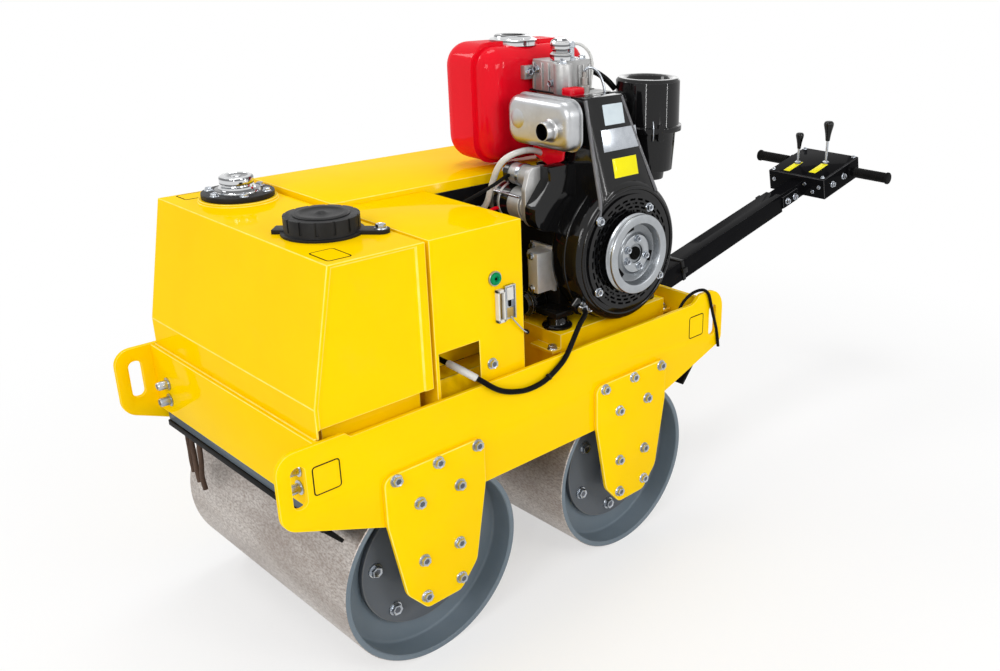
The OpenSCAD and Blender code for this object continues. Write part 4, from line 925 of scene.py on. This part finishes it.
def pulley():
    """The start pulley: grooved rim, deep dish and bolted hub, with near-black pieces of painted shade for
    its slots and the shaft's end in it.
    """
    rows = [(0, 0), (80, 0), (88, 0.5), (93, 2), (95, 4), (95, 6), (92, 8), (87, 11.5), (86.5, 12.5),
            (87, 13.5), (92, 17), (95, 19), (95, 22), (93.5, 24.3), (91, 25), (77, 25), (74.5, 24),
            (73, 21), (71, 10), (69, 5.5), (66, 4), (53, 4), (50, 5), (47, 8), (45, 11.5), (41, 12.6),
            (25, 12.6), (23, 11.5), (22, 8), (0, 8)]
    place = at(CRANK_X, PULLEY_FACE, CRANK_Z)
    turned("pulley", rows, place, OUT, "pulley", ["start_pulley"], 96, body="crank")
    # Near-black slots and shaft end: painted shade.
    bm = bmesh.new()
    for k in range(3):
        turn = Matrix.Rotation(math.radians(120 * k + 42), 4, "Y")
        add_box(bm, (54, 3, -13), (65, 4.4, 13), Matrix.Translation(place) @ turn)
    shaft_end = [(0, 7), (16, 7), (16, 11), (13, 13), (7, 13), (6, 11), (0, 11)]
    lathe(bm, shaft_end, place, OUT, 28)
    round_edges(bm, sharp_edges(bm), 0.8)
    new_piece("pulley_slot_and_shaft_shade", bm, "hole", body="crank")
    spots = [(-345, 782), (-312, 760), (-311, 733), (-353, 714), (-374, 736)]
    bolts("pulley_bolts", [(at(x, PULLEY_FACE + 12.6, z), OUT) for x, z in spots], 9, "crank")


def rubber_feet():
    """Domed rubber mounts under the engine."""
    bm = bmesh.new()
    rows = [(0, 0), (36, 0), (36, 4.5), (34, 7), (28, 8.5), (26, 11), (25, 18), (23, 24), (18, 26.8),
            (0, 26.8)]
    for x in (-192, -484):
        for y in (46, 190):
            lathe(bm, rows, at(x, y, 575), UP, 40)
    new_piece("rubber_mounts", bm, "gloss_black", ["engine_feet"])


NECK = Matrix(((-1, 0, 0), (0, -0.2133, 0.977), (0, 0.977, 0.2133))).transposed().to_4x4()
NECK.translation = at(CRANK_X, 280, 876)


def neck_plates():
    """Blank plates on the shroud's leaning neck. Their boxes run to the right, up the neck and out of it."""
    plate("neck_pale_plate", [((-44, 170, 0), (20, 216, 0.9))], "pale", 0.3, NECK)
    plate("neck_silver_plate", [((-60, 112, 0), (54, 161, 0.9))], "zinc", 0.3, NECK)
    plate("neck_yellow_plate", [((-38, 50, 0), (41, 94, 0.9))], "label_yellow", 0.3, NECK)


TANK_LOW, TANK_HIGH = (-480, 932), (-149, 1205)
TANK_FAR, TANK_NEAR = -160, 16
TANK_CORNER = 54
SEAM_FAR, SEAM_NEAR = -43, -36
MUFFLER_LOW, MUFFLER_HIGH = (48, 995), (253, 1104)
MUFFLER_CORNER = 32
MUFFLER_BACK, MUFFLER_FACE = -225, -175
QUARTER = [math.radians(10 * k) for k in range(10)]


def pressed_can(bm, rows, low, high, corner, shrink, place):
    """Lofts rounded rectangles. Each row is a place along the can and how far its loop is drawn in."""
    loops = []
    for along, inset in rows:
        inner = [v + inset for v in low]
        outer = [v - inset for v in high]
        loop = rounded_loop(inner, outer, max(corner - inset * shrink, 14))
        loops.append([place(along, *pair) for pair in loop])
    loft(bm, loops)


def fuel_tank():
    """Two pressed half shells with big round corners, the near one stepped in, joined at a welded rim."""
    far_r, near_r, step = 50, 42, 6
    rows = [(TANK_FAR + far_r * (1 - math.cos(a)), far_r * (1 - math.sin(a))) for a in QUARTER]
    rows += [(SEAM_FAR - 1, 0), (SEAM_FAR, -3), (SEAM_NEAR, -3), (SEAM_NEAR + 1, step)]
    rows += [(TANK_NEAR - near_r * (1 - math.cos(a)), step + near_r * (1 - math.sin(a)))
             for a in reversed(QUARTER)]
    bm = bmesh.new()
    pressed_can(bm, rows, TANK_LOW, TANK_HIGH, TANK_CORNER, 0.7, lambda y, x, z: at(x, y, z))
    new_piece("fuel_tank_shells", bm, "red", ["fuel_tank"], 50)


def muffler():
    """A pressed can with a rolled seam, its dimple, its outlet and the pipe from the head."""
    rows = [(MUFFLER_BACK, 8), (-223.5, 4), (-220, 1), (-215.5, 0), (-215, -4), (-211, -4), (-210.5, 0)]
    rows += [(MUFFLER_FACE - 18 + 18 * math.sin(a), 18 * (1 - math.cos(a))) for a in QUARTER]
    bm = bmesh.new()
    pressed_can(bm, rows, MUFFLER_LOW, MUFFLER_HIGH, MUFFLER_CORNER, 0.6, at)
    outlet = [(27, -2), (27, -0.5), (23.5, 1), (21.5, 3.5), (21, 7), (21, 23.5), (20.4, 25), (18.6, 25),
              (18, 24), (18, -2), (27, -2)]
    lathe(bm, outlet, at(MUFFLER_FACE, OUTLET_Y, OUTLET_Z), AHEAD, 44)
    dimple = [(0, 3), (8.28, 2.8), (14.72, 2), (19.32, 0.9), (23, -0.5), (0, -0.5)]
    lathe(bm, dimple, at(MUFFLER_FACE, 88, 1053), AHEAD, 44)
    lathe(bm, [(0, -60), (24, -60), (24, 1), (0, 1)], at(MUFFLER_BACK, 95, 1049.5), AHEAD, 44)
    new_piece("muffler_can", bm, "muffler", ["muffler"], 40)


def neck_ribs():
    """Round pressed edges up both sides of the shroud's neck and round its drum."""
    beads = (("shroud_front_bead", 152, 279.5, 4.5), ("shroud_side_bead", 168, 236, 4))
    for name, radius, y, thick in beads:
        arc = [math.radians(20 * k) for k in range(19)]
        rows = [(radius + thick * math.cos(a), thick * math.sin(a)) for a in arc]
        turned(name, rows, at(CRANK_X, y, CRANK_Z), OUT, "gloss_black", steps=96)
    left = [(-251, 229, 1101), (-250, 241, 1045), (-249, 254, 985), (-248, 268, 925), (-247, 279, 878),
            (-243, 280, 845)]
    right = [(-365, 229, 1101), (-382, 241, 1045), (-401, 254, 985), (-420, 268, 925), (-435, 279, 878)]
    # The ribs take the lighter grey finish: painted highlight.
    rod("neck_left_rib", left, 9, "painted_highlight_black")
    rod("neck_right_rib", right, 9, "painted_highlight_black")


STARTER_X, STARTER_Z = -170, 862
SOLENOID_Z = 928
CLEANER_X, CLEANER_Y = -545, 150


def head_dressing():
    """Caps, pipes, brackets, ribs and bolts round the cylinder head and the tank."""
    cap = [(0, 0), (24.6, 0), (24.6, 14), (22, 17), (18, 19), (18, 24), (22.5, 27), (23, 30), (23, 40),
           (20, 45), (13, 50), (0, 50.5)]
    turned("oil_cap", cap, at(-312, 86, 1171), UP, "chrome", steps=22, smooth=12)
    rim = [(0, -8), (56, -8), (56, 4), (53, 6), (46, 6.5), (44.5, 12), (42, 14), (30, 14.2), (28, 12),
           (0, 12)]
    turned("tank_cap", rim, at(-295, -59, 1205), UP, "chrome", ["fuel_cap"], 56)
    plate("tank_cap_grip", [((-321, -63, 1216.5), (-269, -55, 1220))], "plastic", 1.2)
    nozzle = [(0, 0), (13, 0), (13, 14), (9, 17), (9, 33), (6, 36), (6, 47), (0, 47)]
    turned("injector", nozzle, at(-340, 135, 1101), UP, "steel", steps=16, smooth=25)
    banjo = [(0, 0), (10, 0), (10, 6), (7, 8), (7, 28), (9.5, 29), (9.5, 40), (6, 43), (0, 43)]
    turned("return_banjo", banjo, at(-336, 97, 1171), UP, "zinc", steps=18, smooth=25)
    pipe = [(-340, 135, 1146), (-342, 139, 1154), (-352, 144, 1157), (-366, 148, 1150), (-376, 152, 1136),
            (-380, 157, 1120), (-381, 160.5, 1104), (-381, 161.5, 1085), (-380, 160, 1064),
            (-379, 155, 1045)]
    rod("injector_pipe", pipe, 6, "zinc")
    plate("tank_bracket", [((-306, 140, 1101), (-262, 172, 1119))], "red", 4)
    bm = bmesh.new()
    corners = [(80, 992), (186, 992), (181, 964), (142, 942), (86, 962)]
    face = bm.faces.new([bm.verts.new(at(-231, y, z)) for y, z in corners])
    grown = bmesh.ops.extrude_face_region(bm, geom=[face])
    front = [v for v in grown["geom"] if isinstance(v, bmesh.types.BMVert)]
    bmesh.ops.translate(bm, verts=front, vec=(6 * MM, 0, 0))
    bmesh.ops.recalc_face_normals(bm, faces=bm.faces)
    round_edges(bm, sharp_edges(bm), 2.0)
    new_piece("muffler_bracket", bm, "red")
    plate("rocker_gasket", [((-398, 19, 1099), (-274, 111, 1102.5))], "plastic", 0.8)
    ribs = [((-279, y, 1104), (-273.5, y + 6, 1166)) for y in (30, 58, 80)]
    ribs += [((x, 106, 1104), (x + 6, 111, 1160)) for x in (-386, -366, -352)]
    plate("rocker_ribs", ribs, "alloy", 1.2)
    rows = [(at(-375, 40, 1171), UP), (at(-375, 92, 1171), UP), (at(-277, 42, 1150), AHEAD),
            (at(-277, 92, 1122), AHEAD), (at(-264, 30, 1142), OUT), (at(-289, 118, 1168), UP)]
    bolts("head_bolts", rows, 9)


def starter_dressing():
    """Band, tie rods, strap, cap and bolts of the starter, the pump cover's bolts, the filter's hoop."""
    turned("starter_band", band(40.2, 41.5, 0, 46), at(STARTER_X, 48, STARTER_Z), OUT, "gloss_black")
    for k, turn in enumerate((35, 215)):
        tie = (math.cos(math.radians(turn)), math.sin(math.radians(turn)))
        line = [(STARTER_X + 41 * tie[0], y, STARTER_Z + 41 * tie[1]) for y in (24, 60, 100, 134)]
        rod(f"starter_tie_rod_{k + 1}", line, 7, "zinc")
    turned("solenoid_strap", band(24.6, 27, 0, 9), at(STARTER_X, 108, SOLENOID_Z), OUT, "zinc")
    end = [(0, 0), (22, 0), (26, 2), (26, 16), (25.2, 17), (0, 17)]
    turned("solenoid_cap", end, at(STARTER_X, 66, SOLENOID_Z), OUT, "gloss_black")
    spots = ((0.8, 0.6), (-0.8, -0.6))
    rows = [(at(STARTER_X + 25 * dx, 19, STARTER_Z + 25 * dz), -OUT) for dx, dz in spots]
    rows += [(at(-155, 66, 935), -OUT), (at(-185, 66, 921), -OUT)]
    spots = ((-214, 84, 746), (-214, 84, 658), (-162, 138, 742), (-162, 138, 662))
    rows += [(at(*spot), AHEAD) for spot in spots]
    bolts("starter_and_pump_bolts", rows, 8)
    turned("filter_hoop", band(28.2, 30.5, -2.5, 2.5), at(-176, 108, 617), AHEAD, "zinc")


def clips():
    """Wire clips round the air cleaner, and the clip that holds the engine cable."""
    for k, turn in enumerate((52, 172, 292)):
        way = (math.cos(math.radians(turn)), math.sin(math.radians(turn)))
        rows = [(79, 1024), (83, 1018), (86, 1010), (86, 1000), (84.5, 990), (78, 979), (69, 975)]
        line = [(CLEANER_X + r * way[0], CLEANER_Y + r * way[1], z) for r, z in rows]
        rod(f"cleaner_clip_{k + 1}", line, 3.4, "zinc")
    turned("cable_clip", band(7.2, 9.5, -7, 7), at(-193, 276, 638), OUT, "zinc", steps=28)
    bolts("clamp_bolts", [(at(-207, 264, 642), OUT), (at(-224, 264, 629), OUT)], 9)


pressed_grille()
pulley()
rubber_feet()
neck_plates()
fuel_tank()
muffler()
neck_ribs()
head_dressing()
starter_dressing()
clips()


# Handle

ARM_FOOT = (-606, 468)
ARM_RUN, ARM_CLIMB = 0.97437, 0.22495


def on_arm(u, y, v):
    """A point of the arm: along it from its pivot, across the machine, and square up from its middle."""
    return at(ARM_FOOT[0] - ARM_RUN * u + ARM_CLIMB * v, y, ARM_FOOT[1] + ARM_CLIMB * u + ARM_RUN * v)


ARM_ALONG = Vector((-ARM_RUN, 0, ARM_CLIMB))
ARM_UP = Vector((ARM_CLIMB, 0, ARM_RUN))
# The arm's own frame: along, to the far side, square up
ARM = Matrix((ARM_ALONG, -OUT, ARM_UP)).transposed().to_4x4()
ARM.translation = on_arm(0, 0, 0)
BOX_TOP = 43
LID_T = 1.8
BOX_NEAR = 110
BOX_FRONT = 890


def arm_plates():
    """The coupling plate, the strap, the box's lid and the blank strips at the levers."""
    plate("coupling_plate", [((764, -34, -20), (846, -25, 20))], "satin_black", 1.2, ARM, "arm")
    plate("coupling_tab", [((722, 30, -2), (744, 48, 22))], "satin_black", 1.2, ARM, "arm")
    strap = [((244, -32.5, -32.5), (256, -30, 32.5)), ((244, 30, -32.5), (256, 32.5, 32.5)),
             ((244, -32.5, 30), (256, 32.5, 32.5)), ((244, -32.5, -32.5), (256, 32.5, -30)),
             ((240, -40, -8), (260, -32, 8))]
    plate("arm_strap", strap, "plastic", 0.8, ARM, "arm")
    lid = [((BOX_FRONT + 3, -107, BOX_TOP), (1103, 107, BOX_TOP + LID_T))]
    plate("box_lid", lid, "satin_black", 0.7, ARM, "arm")
    low, high = BOX_TOP + LID_T, BOX_TOP + LID_T + 0.6
    strips = [((905, 36, low), (988, 60, high)), ((925, -54, low), (1004, -28, high))]
    plate("lever_strips", strips, "label_yellow", 0.2, ARM, "arm")


def arm_bolts():
    rows = [(on_arm(787, 34, -2), OUT), (on_arm(830, 34, -4), OUT), (on_arm(941, BOX_NEAR, 9), OUT),
            (on_arm(1009, BOX_NEAR, 11), OUT)]
    bolts("arm_bolts", rows, 10, "arm")
    rows = [(on_arm(BOX_FRONT, y, v), -ARM_ALONG) for y, v in ((33, 17), (63, -6), (89, 14), (-90, 14))]
    rows += [(on_arm(u, y, BOX_TOP + LID_T), ARM_UP) for u in (902, 1094) for y in (-98, 98)]
    bolts("box_screws", rows, 6, "arm")


def lever(node, knob_h):
    """A plated stem with a nut at its foot and a pear-shaped knob."""
    low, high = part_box(node)
    foot = Vector(((low.x + high.x) / 2, (low.y + high.y) / 2, low.z))
    stem_h = (high.z - low.z) / MM - knob_h
    wide = (high.x - low.x) / MM / 34
    tall = knob_h / 68
    stem = [(0, 0), (11, 0), (11, 5), (7, 8), (4.5, 9), (4.5, stem_h), (0, stem_h)]
    turned(node + "_stem", stem, foot, UP, "zinc", [node], 24, body="arm")
    pear = [(0, 0), (6, 0), (7.5, 1.5), (8.2, 8), (10, 22), (12.8, 36), (15.6, 47), (16.9, 54), (16.6, 59),
            (14.6, 63.5), (11, 66.4), (6, 67.7), (0, 68)]
    knob = [(r * wide, h * tall) for r, h in pear]
    turned(node + "_knob", knob, foot + UP * stem_h * MM, UP, "knob", steps=32, smooth=60, body="arm")


def grips():
    """Ribbed rubber grips with end flanges on the handle bar."""
    bar, rubber = bmesh.new(), bmesh.new()
    rib = ((17, 0), (15.8, 1.2), (15.8, 3.4), (17, 4.6))
    sleeve = [(0, 137), (17, 137)] + [(r, 141 + 8 * k + d) for k in range(14) for r, d in rib]
    sleeve += [(17, 253), (19.5, 254), (19.5, 259), (18, 261), (14, 262), (0, 262)]
    tube = [(0, 109), (22, 109), (22, 122), (20, 124), (12, 124), (12, 140), (0, 140)]
    for side in SIDES:
        place = on_arm(1043, 0, 15)
        way = (0, side, 0)
        lathe(bar, tube, place, way, 36)
        lathe(rubber, sleeve, place, way, 40)
    new_piece("handle_bar", bar, "satin_black", body="arm")
    new_piece("grip_rubbers", rubber, "rubber", ["hand_grips"], body="arm")


arm_plates()
arm_bolts()
lever("drive_lever", 68)
lever("vibration_lever", 56)
grips()


# Light and floor

def stage_floor():
    """A pale floor that keeps the machine's shadow and turns into the white background further out."""
    bm = bmesh.new()
    bmesh.ops.create_grid(bm, x_segments=1, y_segments=1, size=40)
    mesh = bpy.data.meshes.new("studio_floor")
    bm.to_mesh(mesh)
    bm.free()
    f = Finish("studio_floor", (0.9, 0.9, 0.9), 0.85, shine=0.1)
    f.set("Base Color", f.mix(f.noise(0.8, 2.0), (0.91, 0.91, 0.91), (0.88, 0.88, 0.88)))
    far = f.node("VectorMath", {"operation": "LENGTH"}, {0: f.place}, out="Value").fade(0.9, 2.2)
    white = f.node("Emission", None, {"Color": (1, 1, 1, 1), "Strength": 1.0})
    share = (far * 0.45 + 0.55) * f.seen()
    both = f.node("MixShader", None, {0: share, 1: Value(f, f.shader.outputs[0]), 2: white})
    f.tree.links.new(both.socket, f.tree.nodes["Material Output"].inputs["Surface"])
    mesh.materials.append(f.material)
    floor = bpy.data.objects.new("studio_floor", mesh)
    bpy.context.scene.collection.objects.link(floor)


def softbox(name, place, aim, size, power):
    data = bpy.data.lights.new(name, "AREA")
    data.shape = "RECTANGLE"
    data.size, data.size_y = size
    data.energy = power
    lamp = bpy.data.objects.new(name, data)
    turn = (Vector(aim) - Vector(place)).to_track_quat("-Z", "Y").to_matrix().to_4x4()
    lamp.matrix_world = Matrix.Translation(place) @ turn
    bpy.context.scene.collection.objects.link(lamp)


def studio_light():
    world = bpy.data.worlds.new("studio")
    bpy.context.scene.world = world
    world.use_nodes = True
    sky = Nodes(world.node_tree)
    level = sky.node("MapRange", None, {"Value": sky.seen(), "To Min": 0.55, "To Max": 1.0})
    background = sky.tree.nodes["Background"]
    background.inputs["Color"].default_value = (1, 1, 1, 1)
    sky.tree.links.new(level.socket, background.inputs["Strength"])
    softbox("front_softbox", (4.2, 1.6, 2.6), (0.4, 0, 0.5), (1.3, 1.3), 48)
    softbox("front_strip", (3.4, 2.6, 2.1), (0.4, 0, 0.6), (0.07, 1.8), 18)
    softbox("side_softbox", (0.2, 4.2, 2.4), (0.1, 0, 0.6), (1.3, 1.1), 40)
    softbox("side_strip", (-1.4, 3.2, 2.0), (-0.2, 0, 0.7), (0.07, 1.8), 15)
    softbox("top_softbox", (-0.1, -0.8, 4.4), (0.1, 0, 0.7), (1.7, 1.2), 36)
    softbox("rim_softbox", (1.8, -2.6, 3.2), (0.2, 0.1, 0.8), (1.1, 1.1), 29)
    softbox("back_softbox", (-3.4, -2.4, 2.2), (0, 0, 0.6), (2.4, 1.8), 26)


stage_floor()
studio_light()
bpy.context.scene.view_settings.view_transform = "Standard"
